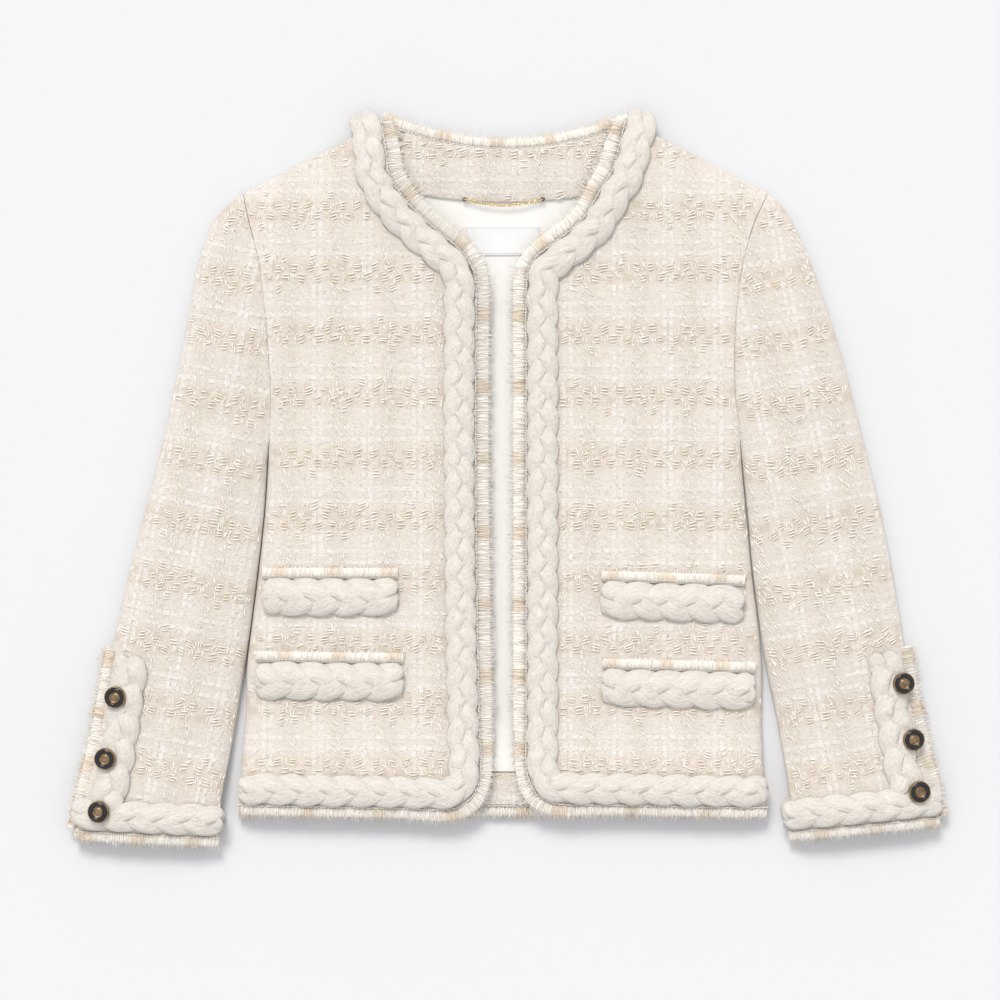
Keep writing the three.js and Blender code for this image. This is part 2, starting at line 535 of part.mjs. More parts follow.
// The edge of a front, from past the neck point down and along the hem to the side seam. Each
// place says which way the panel lies (scaled to measure square to the edge), the fringe's
// reach, and how far the braid drops as it wraps over the shoulder.
function frontEdge(side) {
  const turn = side === 'right' ? -1 : 1;
  const rows = FRONT_EDGE.map((row) => {
    const p = point(row[`${side}X`], row[`${side}Y`]);
    const rowWay = row.at <= CORNER_START ? seamPoint(side, row.at).sub(p).normalize() : null;
    return { p, reach: row.reach, drop: 0, rowWay };
  });
  const hemCorner = rows[rows.length - 1].p;
  const sideSeam = seamPoint(side, BODY_ROWS.length - 1);
  const upSeam = seamPoint(side, CORNER_START).sub(sideSeam).normalize();
  const hem = FRONT_COLUMNS.slice(0, -1).toReversed().map((share) => {
    return { p: between(sideSeam, hemCorner, share), reach: HEM_FRINGE_REACH, drop: 0, rowWay: upSeam };
  });
  const wrap = SHOULDER_WRAP.map(({ rise, drop }) => {
    const p = point(rows[0].p.x + turn * WRAP_LEAN * rise, rows[0].p.y + rise);
    return { p, reach: rows[0].reach, drop, rowWay: rows[0].rowWay };
  });
  const edge = [...wrap, ...rows, ...hem];
  return edge.map((place, i) => {
    const before = edge[Math.max(i - 1, 0)].p;
    const after = edge[Math.min(i + 1, edge.length - 1)].p;
    const along = after.clone().sub(before).normalize();
    const square = point(-along.y * turn, along.x * turn);
    const way = place.rowWay ?? square;
    return { ...place, inward: way.clone().divideScalar(way.dot(square)) };
  });
}

function frontBraid(side) {
  const grid = fronts[side].upper;
  const rails = BRAID_RAILS.map((share) => frontEdge(side).map(({ p, inward, drop }) => {
    const onPanel = p.clone().addScaledVector(inward, share * BRAID_WIDTH + SEAM_GAP);
    return onPanel.setZ(heightOn(grid, onPanel.x, onPanel.y) - drop);
  }));
  return bandOver(rails, BRAID_THICK, BRAID_CLEAR);
}

function frontFringe(side) {
  const grid = fronts[side].lower;
  const edge = frontEdge(side).slice(SHOULDER_WRAP.length);
  const rail = (isOuter) => edge.map(({ p, inward, reach }) => {
    const distance = SEAM_GAP + (isOuter ? reach : 0);
    return p.clone().addScaledVector(inward, -distance).setZ(heightOn(grid, p.x, p.y));
  });
  return bandOver([rail(false), rail(true)], FRINGE_THICK, 0, 1);
}

for (const side of ['right', 'left']) {
  sew(`front_braid_${side}`, frontBraid(side).geometry, COLOURS.braid, 0.95);
  sew(`front_fringe_${side}`, frontFringe(side).geometry, COLOURS.fringe, 0.95);
}

// Braid and fringe of the back's neck and hem. The braid is on the back's outer side, under it.
const NECK_STEPS = 10;
const HEM_STEPS = 6;
const HEM_OVERHANG = 2; // of the back hem's braid past each side seam
const UNDER_BRAID_INSET = 1; // from the back's edge
const BACK_FRINGE_START = 1.6; // outside the back's edge
const onSurface = () => 0;
const neckEdge = smoothPath(
  [-1, ...NECK_COLUMNS, 1].map((share) => backRowPoint(BODY_ROWS[0], share * NECK_POINT)),
  NECK_STEPS,
);
const hemEdge = smoothPath(
  [0, 0.25, 0.5, 0.75, 1].map((share) => {
    const row = BODY_ROWS[BODY_ROWS.length - 1];
    return point(lerp(row.rightX - HEM_OVERHANG, row.leftX + HEM_OVERHANG, share), row.backY);
  }),
  HEM_STEPS,
);

function underBraid(path, turn) {
  const rails = BRAID_RAILS.map((share) => {
    return railBeside(path, () => turn * (share * BRAID_WIDTH + UNDER_BRAID_INSET), onSurface);
  });
  return bandOver(rails, BRAID_THICK, 0);
}

function backFringe(path, turn, reach) {
  const level = () => BRAID_LIFT;
  const inner = railBeside(path, () => turn * BACK_FRINGE_START, level);
  const outer = railBeside(path, () => turn * (BACK_FRINGE_START + reach), level);
  return bandOver([inner, outer], FRINGE_THICK, 0, 1);
}

sew('back_neck_braid', underBraid(neckEdge, -1).geometry, COLOURS.braid, 0.95);
sew('back_neck_fringe', backFringe(neckEdge, 1, NECK_FRINGE_REACH).geometry, COLOURS.fringe, 0.95);
sew('back_hem_braid', underBraid(hemEdge, 1).geometry, COLOURS.braid, 0.95);
sew('back_hem_fringe', backFringe(hemEdge, -1, NECK_FRINGE_REACH).geometry, COLOURS.fringe, 0.95);

// ---- Sleeve trims ----
// Rails between two of a panel's rows, each a share of the way from the last row to the one above.
function rowRails(grid, shares) {
  const end = grid[grid.length - 1];
  const above = grid[grid.length - 2];
  return shares.map((share) => end.map((p, k) => between(p, above[k], share)));
}

// A point a share of the way across one of a sleeve's rows, from its outer edge.
function pointAcross(row, share) {
  const next = SLEEVE_COLUMNS.findIndex((column) => column > share);
  const start = SLEEVE_COLUMNS[next - 1];
  return between(row[next - 1], row[next], (share - start) / (SLEEVE_COLUMNS[next] - start));
}

function sleeveEndFringe(grid) {
  const end = grid[grid.length - 1];
  const above = grid[grid.length - 2];
  const inner = end.map((p, k) => between(p, above[k], -SEAM_GAP / p.distanceTo(above[k])).setZ(p.z));
  const outer = end.map((p, k) => {
    return between(p, above[k], -(SEAM_GAP + HEM_FRINGE_REACH) / p.distanceTo(above[k])).setZ(p.z);
  });
  return bandOver([inner, outer], FRINGE_THICK, 0, 1);
}

const CUFF_SHARES = [0.02, 0.5, 0.97];
const VENT_FRINGE_REACH = 8;
const VENT_FRINGE_DROP = 1; // its outer edge hangs this much lower down the sleeve
const buttonSeats = {};
for (const side of ['right', 'left']) {
  const { top, under } = sleeves[side];
  const out = side === 'right' ? -1 : 1;
  const cuffBraid = bandOver(rowRails(top.upper, CUFF_SHARES), BRAID_THICK, BRAID_CLEAR);
  sew(`cuff_braid_over_${side}`, cuffBraid.geometry, COLOURS.braid, 0.95);
  const floorRails = rowRails(under.lower, CUFF_SHARES).map((rail) => rail.map((p) => p.setZ(0)));
  sew(`cuff_braid_under_${side}`, bandOver(floorRails, BRAID_THICK, 0).geometry, COLOURS.braid, 0.95);
  sew(`cuff_fringe_over_${side}`, sleeveEndFringe(top.lower).geometry, COLOURS.fringe, 0.95);
  sew(`cuff_fringe_under_${side}`, sleeveEndFringe(under.lower).geometry, COLOURS.fringe, 0.95);

  const ventRows = top.upper.slice(VENT_ROWS.top, VENT_ROWS.bottom + 1);
  const rails = VENT_BRAID_SHARES.map((share) => ventRows.map((row, i) => {
    const down = i / (ventRows.length - 1);
    const p = pointAcross(row, share + VENT_DRIFT * down);
    const above = pointAcross(ventRows[Math.max(i - 1, 0)], share + VENT_DRIFT);
    return down === 1 ? between(p, above, VENT_END_SHARE) : p;
  }));
  const ventBraid = bandOver(rails, BRAID_THICK, BRAID_CLEAR);
  sew(`vent_braid_${side}`, ventBraid.geometry, COLOURS.braid, 0.95);
  buttonSeats[side] = { vent: ventBraid.upper, cuff: cuffBraid.upper };

  const edge = top.lower.slice(VENT_ROWS.top).map((row) => row[0]);
  const inner = edge.map((p) => point(p.x + out * SEAM_GAP, p.y, p.z));
  const outer = edge.map((p) => point(p.x + out * (SEAM_GAP + VENT_FRINGE_REACH), p.y - VENT_FRINGE_DROP, p.z));
  sew(`vent_fringe_${side}`, bandOver([inner, outer], FRINGE_THICK, 0, 1).geometry, COLOURS.fringe, 0.95);
}

// ---- Pocket bands ----
// Shares along a band, closer together where the front rolls down to the side seam.
const POCKET_SHARES = [0, 0.2, 0.4, 0.6, 0.74, 0.8, 0.85, 0.9, 0.94, 0.97, 1];
for (const pocket of POCKETS) {
  const grid = fronts[pocket.side].upper;
  const inner = point(pocket.innerX, pocket.innerY);
  const outer = point(pocket.outerX, pocket.outerY);
  const line = POCKET_SHARES.map((share) => between(inner, outer, share));
  const down = pocket.side === 'right' ? 1 : -1;
  const onFront = (x, y) => heightOn(grid, x, y);
  const braidRails = BRAID_RAILS.map((share) => {
    return railBeside(line, () => down * share * POCKET_BRAID_WIDTH, onFront);
  });
  const braid = bandOver(braidRails, BRAID_THICK, BRAID_CLEAR);
  sew(`pocket_braid_${pocket.name}`, braid.geometry, COLOURS.braid, 0.95);
  const fringeRails = [SEAM_GAP, SEAM_GAP + POCKET_FRINGE_REACH].map((distance) => {
    return railBeside(line, () => -down * distance, onFront);
  });
  const fringe = bandOver(fringeRails, FRINGE_THICK, BRAID_CLEAR, 1);
  sew(`pocket_fringe_${pocket.name}`, fringe.geometry, COLOURS.fringe, 0.95);
}

// ---- Cuff buttons ----
function lathe(profile) {
  const outline = profile.map(([radius, height]) => new THREE.Vector2(radius, height));
  return new THREE.LatheGeometry(outline, BUTTON_SIDES).rotateX(Math.PI / 2);
}

// How high a tilted button lies for its back to rest just clear of the braid all round.
function seatHeight(grid, x, y, tilt) {
  const backRadius = BUTTON_PROFILE[1][0];
  let height = heightOn(grid, x, y);
  for (let i = 0; i < BUTTON_SIDES; i += 1) {
    const angle = (i / BUTTON_SIDES) * 2 * Math.PI;
    const across = backRadius * Math.cos(angle);
    const along = backRadius * Math.sin(angle);
    const surface = heightOn(grid, x + across * Math.cos(tilt), y + along);
    height = Math.max(height, surface + across * Math.sin(tilt));
  }
  return height + REST_GAP;
}

for (const button of BUTTONS) {
  const tilt = THREE.MathUtils.degToRad(BUTTON_TILT) * Math.sign(button.x);
  const seat = buttonSeats[button.side][button.seat];
  const place = point(button.x, button.y, seatHeight(seat, button.x, button.y, tilt));
  const body = sew(`button_${button.name}`, lathe(BUTTON_PROFILE), COLOURS.brass, 0.35, 1);
  const ring = sew(`button_ring_${button.name}`, lathe(RING_PROFILE), COLOURS.black, 0.25);
  for (const piece of [body, ring]) {
    piece.position.copy(place);
    piece.rotation.y = tilt;
  }
}

// The origin is the middle of the jacket's footprint, on the surface it lies on.
jacket.updateMatrixWorld(true);
const bounds = new THREE.Box3().setFromObject(jacket, true);
const middle = bounds.getCenter(new THREE.Vector3());
jacket.position.set(-middle.x, -middle.y, -bounds.min.z);

export default jacket;
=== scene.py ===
"""A cropped tweed jacket with plaited wool braid and frayed edges, laid flat on its back."""

import math
import random

import bmesh
import bpy
from mathutils import Matrix, Vector, noise
from mathutils.bvhtree import BVHTree


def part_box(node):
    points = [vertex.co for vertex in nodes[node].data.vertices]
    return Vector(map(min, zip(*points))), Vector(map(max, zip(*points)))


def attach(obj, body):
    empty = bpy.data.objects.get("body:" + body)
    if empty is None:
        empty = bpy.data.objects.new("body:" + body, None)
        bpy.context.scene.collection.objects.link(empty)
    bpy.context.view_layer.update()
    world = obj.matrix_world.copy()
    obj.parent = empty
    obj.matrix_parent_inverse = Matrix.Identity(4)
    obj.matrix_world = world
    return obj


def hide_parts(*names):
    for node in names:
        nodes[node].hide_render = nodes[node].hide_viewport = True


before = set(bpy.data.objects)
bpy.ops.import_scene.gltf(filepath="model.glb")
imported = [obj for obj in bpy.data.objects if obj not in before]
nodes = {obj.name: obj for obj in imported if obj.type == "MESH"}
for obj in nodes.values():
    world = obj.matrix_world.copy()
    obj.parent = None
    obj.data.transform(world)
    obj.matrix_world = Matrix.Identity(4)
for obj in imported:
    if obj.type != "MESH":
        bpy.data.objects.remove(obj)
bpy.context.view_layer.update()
scene = bpy.context.scene
scene.view_settings.view_transform = "Standard"
bpy.ops.object.select_all(action="DESELECT")

# ---------------------------------------------------------------- sizes, in millimetres
MM = 0.001
UP, DOWN = Vector((0, 0, 1)), Vector((0, 0, -1))
SIDES = ("right", "left")
SHIFT = Vector((-1.3, -1.8))  # from the cutting plan's middle line to the frame's middle
BRAID_WIDTH = 23.6
POCKET_BRAID_WIDTH = 29
STRAND_SHARE = 0.56  # a strand's width, as a share of its braid's
STRAND_DEPTH = 4.4
PLAIT_PERIOD = 62  # along the braid, for one strand to cross over and back
SEAM_GAP = 0.35
VENT_BRAID_WIDTH = 26.5
VENT_BRAID_INSET = 16.5  # from the sleeve's edge to the middle of the braid beside its vent
VENT_BRAID_DRIFT = 6  # further in than that by the cuff
TWEED_REPEAT = 47  # from one band of floats to the next
STRIPE_REPEAT = 38  # from one pair of ribbon yarns to the next
SLEEVE_TURN = 11  # degrees that the sleeves' grain is turned from the body's

# The neck and front edges, from the neck point down to the hem's corner: where the edge lies
# on the right and left sides, and how far the fringe reaches past it.
FRONT_EDGE = [
    ((-96.5, 282), (93.5, 283), 10),
    ((-95, 272), (92, 274), 11),
    ((-92, 252), (87, 254), 14.5),
    ((-89, 232), (82, 236), 15),
    ((-77, 213), (72, 219.5), 14),
    ((-66, 201.5), (62, 202), 13),
    ((-54.5, 191), (50, 190), 13),
    ((-38, 177.5), (35, 178.5), 13),
    ((-28, 165), (22, 167), 13),
    ((-23.5, 149), (16.8, 150), 13),
    ((-23.5, 85), (16.5, 85), 13),
    ((-23.5, 17.6), (16.5, 15), 13),
    ((-23.2, -29), (16.5, -29), 13),
    ((-22.2, -111), (16.5, -111), 13),
    ((-21, -168), (16.5, -168), 13),
    ((-20.3, -192), (16.5, -192), 12),
    ((-19.5, -219), (16.5, -217), 11),
    ((-23.4, -234), (20.5, -231), 12),
    ((-30.2, -242.5), (27.5, -239), 13),
    ((-44, -248), (42, -244), 12),
    ((-84, -247.2), (82, -244.8), 10),
    ((-124, -246.4), (121, -245.6), 10),
    ((-164, -245.6), (160, -246.4), 10),
    ((-202, -245), (198, -247), 10),
]

# Each pocket band: the inner and outer end of its upper edge.
POCKETS = {
    "upper_right": ((-82.5, -73.5), (-184, -73.5)),
    "lower_right": ((-78, -138), (-189, -136.5)),
    "upper_left": ((73.5, -75.5), (181, -79)),
    "lower_left": ((74, -142), (189.5, -145)),
}

# The outer edge of each sleeve beside its vent, from the top of the vent down to the cuff.
VENT_EDGE = {
    "right": [(-299, -128), (-304.5, -158), (-311, -193), (-315.5, -213), (-322, -240), (-326.4, -264.5)],
    "left": [(303.6, -126), (307.8, -155), (315, -189), (319, -209), (325, -231), (329, -254)],
}
# The end of each sleeve, from its outer corner to its inner one.
CUFF_EDGE = {
    "right": [(-326.4, -264.5), (-218.5, -269.8)],
    "left": [(329, -254), (215.5, -265.2)],
}


def place(pair):
    """A point of the cutting plan, moved to the frame."""
    return Vector(pair) + SHIFT


def halved(ends):
    """The two ends of a straight edge, with its middle between them."""
    first, last = (place(p) for p in ends)
    return [first, first.lerp(last, 0.5), last]


# ---------------------------------------------------------------- pieces and surfaces
def body_of_mesh(mesh):
    """A tree that finds the first surface under or over a place."""
    faces = [tuple(p.vertices) for p in mesh.polygons]
    return BVHTree.FromPolygons([v.co for v in mesh.vertices], faces)


def top_of(tree, x, y, otherwise=0.0):
    """Height in millimetres of a surface's top at a place in millimetres."""
    hit = tree.ray_cast(Vector((x * MM, y * MM, 1)), DOWN)[0]
    if hit is None:
        hit = tree.find_nearest(Vector((x * MM, y * MM, otherwise * MM)))[0]
    return hit.z / MM


def finish_piece(obj, slot, material, *replaced):
    obj.data.materials.clear()
    obj.data.materials.append(material)
    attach(obj, "root")
    if replaced:
        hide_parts(*replaced)
    return obj


def piece_from(name, vertices, faces, uvs=None):
    """A smooth mesh from millimetre points, with a UV in metres for each vertex if given."""
    mesh = bpy.data.meshes.new(name)
    mesh.from_pydata([Vector(v) * MM for v in vertices], [], faces)
    if uvs:
        layer = mesh.uv_layers.new(name="along")
        for loop in mesh.loops:
            layer.data[loop.index].uv = uvs[loop.vertex_index]
    mesh.polygons.foreach_set("use_smooth", [True] * len(mesh.polygons))
    obj = bpy.data.objects.new(name, mesh)
    scene.collection.objects.link(obj)
    return obj


def use_only(obj):
    bpy.ops.object.select_all(action="DESELECT")
    obj.select_set(True)
    bpy.context.view_layer.objects.active = obj


def spaced(points, step):
    """Points along a smooth line through the given ones, about a step apart."""
    points = [Vector(p) for p in points]
    fine = []
    for i in range(len(points) - 1):
        a, b = points[i], points[i + 1]
        before = points[i - 1] if i else a * 2 - b
        after = points[i + 2] if i + 2 < len(points) else b * 2 - a
        for j in range(16):
            t = j / 16
            fine.append(
                0.5 * (2 * a + (b - before) * t + (2 * before - 5 * a + 4 * b - after) * t * t
                       + (3 * a - before - 3 * b + after) * t ** 3)
            )
    fine.append(points[-1])
    lengths = [0.0]
    for a, b in zip(fine, fine[1:]):
        lengths.append(lengths[-1] + (b - a).length)
    count = max(2, round(lengths[-1] / step))
    line = []
    k = 0
    for i in range(count + 1):
        want = lengths[-1] * i / count
        while k < len(fine) - 2 and lengths[k + 1] < want:
            k += 1
        run = lengths[k + 1] - lengths[k]
        line.append(fine[k].lerp(fine[k + 1], (want - lengths[k]) / run if run else 0))
    return line


def run_at(line, i):
    """The way a line runs at one of its points: from the point before it to the one after."""
    return line[min(i + 1, len(line) - 1)] - line[max(i - 1, 0)]


def tube_faces(faces, first, rings, sides, flip=False):
    """Joins rings of vertices into a closed tube: its walls, and then its two ends."""
    for j in range(rings - 1):
        for k in range(sides):
            a = first + j * sides + k
            b = first + j * sides + (k + 1) % sides
            faces.append((a, b, b + sides, a + sides) if flip else (a, a + sides, b + sides, b))
    start = tuple(range(first, first + sides))
    end = tuple(range(first + (rings - 1) * sides, first + rings * sides))
    faces.append(start[::-1] if flip else start)
    faces.append(end if flip else end[::-1])


def beside(line, distance):
    """The line moved sideways, to the left of the way it runs."""
    moved = []
    for i, p in enumerate(line):
        along = run_at(line, i).xy.normalized()
        point = p.copy()
        point.x -= along.y * distance
        point.y += along.x * distance
        moved.append(point)
    return moved


# ---------------------------------------------------------------- materials
OBJECT_SPACE, UV_SPACE = 3, 2  # outputs of the texture coordinate node


class Nodes:
    """A short way to write a material: each call adds a node and returns its first output."""

    def __init__(self, name):
        self.material = bpy.data.materials.new(name)
        self.material.use_nodes = True
        self.tree = self.material.node_tree
        self.shader = self.tree.nodes["Principled BSDF"]

    def add(self, kind, settings=None, inputs=None, output=0):
        node = self.tree.nodes.new(kind)
        for key, value in (settings or {}).items():
            setattr(node, key, value)
        for key, value in (inputs or {}).items():
            self.join(value, node.inputs[key])
        return node.outputs[output]

    def join(self, value, socket):
        if isinstance(value, bpy.types.NodeSocket):
            self.tree.links.new(value, socket)
        else:
            socket.default_value = value

    def math(self, operation, a, b=0.0, c=0.0):
        return self.add("ShaderNodeMath", {"operation": operation}, {0: a, 1: b, 2: c})

    def times(self, a, b):
        return self.math("MULTIPLY", a, b)

    def wave(self, value, length):
        return self.math("SINE", self.times(value, math.tau / length))

    def axes(self, vector):
        """The vector's X, Y and Z."""
        split = self.tree.nodes.new("ShaderNodeSeparateXYZ")
        self.join(vector, split.inputs[0])
        return split.outputs

    def band(self, value, low, high, soft):
        """1 between low and high, falling to 0 over a soft width on each side."""
        rise = self.ramp(value, low - soft, low)
        fall = self.ramp(value, high, high + soft)
        return self.math("SUBTRACT", rise, fall)

    def ramp(self, value, low, high, out_low=0.0, out_high=1.0):
        settings = {"interpolation_type": "SMOOTHSTEP"}
        inputs = {"Value": value, "From Min": low, "From Max": high, "To Min": out_low, "To Max": out_high}
        return self.add("ShaderNodeMapRange", settings, inputs)

    def mix(self, share, a, b):
        node = self.tree.nodes.new("ShaderNodeMix")
        node.data_type = "RGBA"
        self.join(share, node.inputs[0])
        self.join(a, node.inputs[6])
        self.join(b, node.inputs[7])
        return node.outputs[2]

    def noise(self, vector, scale, detail=3.0, rough=0.55):
        inputs = {"Vector": vector, "Scale": scale, "Detail": detail, "Roughness": rough}
        return self.add("ShaderNodeTexNoise", {}, inputs)

    def stretched(self, vector, x, y, z=1.0, turn=0.0):
        """The pattern space scaled on each axis, and turned about Z by degrees."""
        inputs = {"Vector": vector, "Scale": (x, y, z), "Rotation": (0, 0, math.radians(turn))}
        return self.add("ShaderNodeMapping", {}, inputs)

    def bump(self, height, distance, strength=1.0, normal=None):
        inputs = {"Height": height, "Distance": distance, "Strength": strength}
        if normal:
            inputs["Normal"] = normal
        return self.add("ShaderNodeBump", {}, inputs)

    def finish(self, **sockets):
        for key, value in sockets.items():
            self.join(value, self.shader.inputs[key.replace("_", " ")])
        return self.material


def tweed(name, turn=0.0, shade=1.0):
    """Ivory tweed: plain weave with pairs of ribbon yarns each way, and bands of shiny floats."""
    # A shade below 1 darkens every colour of the cloth: painted shade, as on the sleeves and the seam beads.
    def shaded(*colour):
        return *(value * shade for value in colour), 1

    n = Nodes(name)
    place_on = n.add("ShaderNodeTexCoord", output=OBJECT_SPACE)
    wobble = n.add("ShaderNodeTexNoise", {}, {"Vector": place_on, "Scale": 22.0, "Detail": 2.0}, output=1)
    centred = n.add("ShaderNodeVectorMath", {"operation": "SUBTRACT"}, {0: wobble, 1: (0.5, 0.5, 0.5)})
    drift = n.add("ShaderNodeVectorMath", {"operation": "SCALE"}, {0: centred, "Scale": 0.0018})
    grain = n.add("ShaderNodeVectorMath", {"operation": "ADD"}, {0: place_on, 1: drift})
    grain = n.stretched(grain, 1000, 1000, 1000, turn)  # millimetres, along and across the cloth
    across, up = n.axes(grain)[:2]
    in_repeat = n.math("FLOORED_MODULO", up, TWEED_REPEAT)
    in_stripe = n.math("FLOORED_MODULO", across, STRIPE_REPEAT)

    # Painted shade: the ground darkened under two staggered rows of yarn clusters, where the raised floats
    # shade it.
    clusters = 0.0
    for row_at, offset in ((9.0, 0.0), (17.0, 6.2)):
        row = n.band(in_repeat, row_at, row_at + 5.6, 0.5)
        along = n.math("FLOORED_MODULO", n.math("ADD", across, offset), 12.4)
        cluster = n.times(row, n.band(along, 1.4, 8.0, 0.7))
        clusters = n.math("MAXIMUM", cluster, clusters)

    # Ribbon yarns: a pair across below the floats, and a pair up the cloth in every stripe.
    ribbons_across = n.math("ADD", n.band(in_repeat, 28.5, 31.0, 0.6), n.band(in_repeat, 37.5, 40.0, 0.6))
    ribbons_up = n.math("ADD", n.band(in_stripe, 4.0, 6.6, 0.6), n.band(in_stripe, 9.0, 11.8, 0.6))
    segments = n.ramp(n.wave(across, 6.2), -0.8, -0.2, 0.25, 1.0)
    steps = n.ramp(n.wave(up, 6.8), -0.8, -0.3, 0.35, 1.0)
    broken_across, broken_up = n.times(ribbons_across, segments), n.times(ribbons_up, steps)
    ribbons = n.math("MAXIMUM", broken_across, broken_up)
    worn = n.ramp(n.noise(n.stretched(grain, 0.11, 0.13), 1.0, 3.0, 0.65), 0.36, 0.62, 0.15, 1.0)
    ribbons = n.times(ribbons, worn)

    # Nubbly yarns that run up the cloth in slanting stitches, beside each pair of ribbons.
    slant = n.wave(n.math("ADD", up, n.times(in_stripe, 1.6)), 3.6)
    nubs_at = n.band(in_stripe, 19.0, 29.0, 2.5)
    nubs = n.times(nubs_at, n.ramp(slant, -0.4, 0.8))

    # The ground's fine weave, threads each way with uneven thickness.
    warp = n.noise(n.stretched(grain, 1.0, 0.22), 1.15, 4.0, 0.7)
    weft = n.noise(n.stretched(grain, 0.2, 1.0), 1.2, 4.0, 0.7)
    threads = n.math("ADD", warp, weft)
    check = n.times(n.wave(across, 1.9), n.wave(up, 1.9))
    ground = n.math("MULTIPLY_ADD", check, 0.12, threads)
    pits = n.ramp(n.noise(n.stretched(grain, 1.0, 1.0), 0.42, 2.0, 0.6), 0.60, 0.74)

    patches = n.noise(grain, 0.035, 3.0)
    colour = n.mix(n.ramp(threads, 0.75, 1.25), shaded(0.765, 0.68, 0.59),
                   shaded(0.90, 0.835, 0.765))
    colour = n.mix(n.ramp(patches, 0.35, 0.7, 0.0, 0.4), colour, shaded(0.83, 0.755, 0.67))
    colour = n.mix(n.times(pits, 0.25), colour, (0.50, 0.42, 0.33, 1))
    # Painted shade: the weave darkened across each band of floats, and more under the clusters.
    bands = n.band(in_repeat, 7.5, 24.0, 3.0)
    colour = n.mix(n.times(bands, 0.3), colour, (0.75, 0.645, 0.525, 1))
    colour = n.mix(n.times(clusters, 0.4), colour, (0.64, 0.52, 0.39, 1))
    colour = n.mix(n.times(nubs, 0.3), colour, (0.89, 0.82, 0.71, 1))
    colour = n.mix(n.times(ribbons, 0.7), colour, (0.945, 0.91, 0.86, 1))

    relief = n.math("MULTIPLY_ADD", ribbons, 0.55, n.times(ground, 1.1))
    relief = n.math("MULTIPLY_ADD", nubs, 0.45, relief)
    relief = n.math("MULTIPLY_ADD", pits, -0.6, relief)
    return n.finish(Base_Color=colour, Roughness=0.85, Normal=n.bump(relief, 0.0011, 0.85),
                    Sheen_Weight=0.35, Sheen_Roughness=0.5, Specular_IOR_Level=0.3)


def float_yarn(name):
    """Smooth, faintly shiny twisted yarn, lighter and darker from place to place, with painted shade in its
    twist.
    """
    n = Nodes(name)
    place_on = n.add("ShaderNodeTexCoord", output=OBJECT_SPACE)
    along = n.add("ShaderNodeTexCoord", output=UV_SPACE)
    twist = n.noise(n.stretched(along, 500, 1600, 1, 25), 1.0, 3.0, 0.6)
    each = n.noise(n.stretched(place_on, 190, 190, 190), 1.0, 2.0)
    colour = n.mix(n.ramp(each, 0.35, 0.65), (0.87, 0.79, 0.675, 1), (0.97, 0.94, 0.875, 1))
    # Painted shade: brown darkening in the twist's grooves, where its bump is lowest.
    colour = n.mix(n.ramp(twist, 0.3, 0.6, 0.22, 0.0), colour, (0.66, 0.53, 0.40, 1))
    rough = n.ramp(twist, 0.3, 0.7, 0.5, 0.34)
    return n.finish(Base_Color=colour, Roughness=rough, Normal=n.bump(twist, 0.0003, 0.6), Sheen_Weight=0.2,
                    Sheen_Roughness=0.4, Specular_IOR_Level=0.5)


def wool(name, light, dark):
    """Soft wool roving: fine fibres along each strand, from the strand's own UV map."""
    n = Nodes(name)
    along = n.add("ShaderNodeTexCoord", output=UV_SPACE)
    fibres = n.noise(n.stretched(along, 160, 1300, 1, 9), 1.0, 5.0, 0.75)
    clumps = n.noise(n.stretched(along, 110, 420, 1, 14), 1.0, 3.0, 0.65)
    colour = n.mix(n.ramp(fibres, 0.3, 0.7), dark, light)
    colour = n.mix(n.ramp(clumps, 0.4, 0.7, 0.0, 0.35), colour, dark)
    relief = n.math("MULTIPLY_ADD", clumps, 1.6, fibres)
    return n.finish(Base_Color=colour, Roughness=0.92, Normal=n.bump(relief, 0.0016, 1.0),
                    Sheen_Weight=0.5, Sheen_Roughness=0.6, Specular_IOR_Level=0.2)


def fringe_yarn(name, repeat):
    """Frayed yarn ends: ivory, with beige blocks along the edge, each end a little different."""
    n = Nodes(name)
    along = n.add("ShaderNodeTexCoord", output=UV_SPACE)
    edge_mm = n.times(n.axes(along)[0], 1000)
    drift = n.times(n.noise(n.stretched(along, 60, 60), 1.0, 2.0), 9.0)
    in_block = n.math("FLOORED_MODULO", n.math("ADD", edge_mm, drift), repeat)
    block = n.band(in_block, 8, 14, 5)
    each = n.noise(n.stretched(along, 1300, 120), 1.0, 3.0, 0.7)
    colour = n.mix(n.ramp(each, 0.3, 0.7), (0.85, 0.785, 0.70, 1), (0.935, 0.895, 0.84, 1))
    colour = n.mix(n.times(block, n.ramp(each, 0.25, 0.7, 0.4, 0.85)), colour, (0.74, 0.62, 0.475, 1))
    return n.finish(Base_Color=colour, Roughness=0.85, Normal=n.bump(each, 0.0005, 0.6),
                    Sheen_Weight=0.3, Sheen_Roughness=0.5, Specular_IOR_Level=0.3)


def plain_cloth(name, light, dark, pitch, shine, sheen):
    """A fine woven cloth: thread count from its pitch in millimetres."""
    n = Nodes(name)
    place_on = n.add("ShaderNodeTexCoord", output=OBJECT_SPACE)
    grain = n.stretched(place_on, 1000, 1000, 1000)
    across, up = n.axes(grain)[:2]
    weave = n.times(n.wave(across, pitch), n.wave(up, pitch))
    uneven = n.noise(n.stretched(grain, 0.8, 0.05), 1.0, 3.0)
    patches = n.noise(grain, 0.02, 2.0)
    colour = n.mix(n.ramp(n.math("MULTIPLY_ADD", weave, 0.15, uneven), 0.3, 0.7), dark, light)
    colour = n.mix(n.ramp(patches, 0.4, 0.7, 0.0, 0.3), colour, dark)
    relief = n.math("MULTIPLY_ADD", weave, 0.4, uneven)
    return n.finish(Base_Color=colour, Roughness=shine, Normal=n.bump(relief, 0.0002, 0.35),
                    Sheen_Weight=sheen, Sheen_Roughness=0.4)


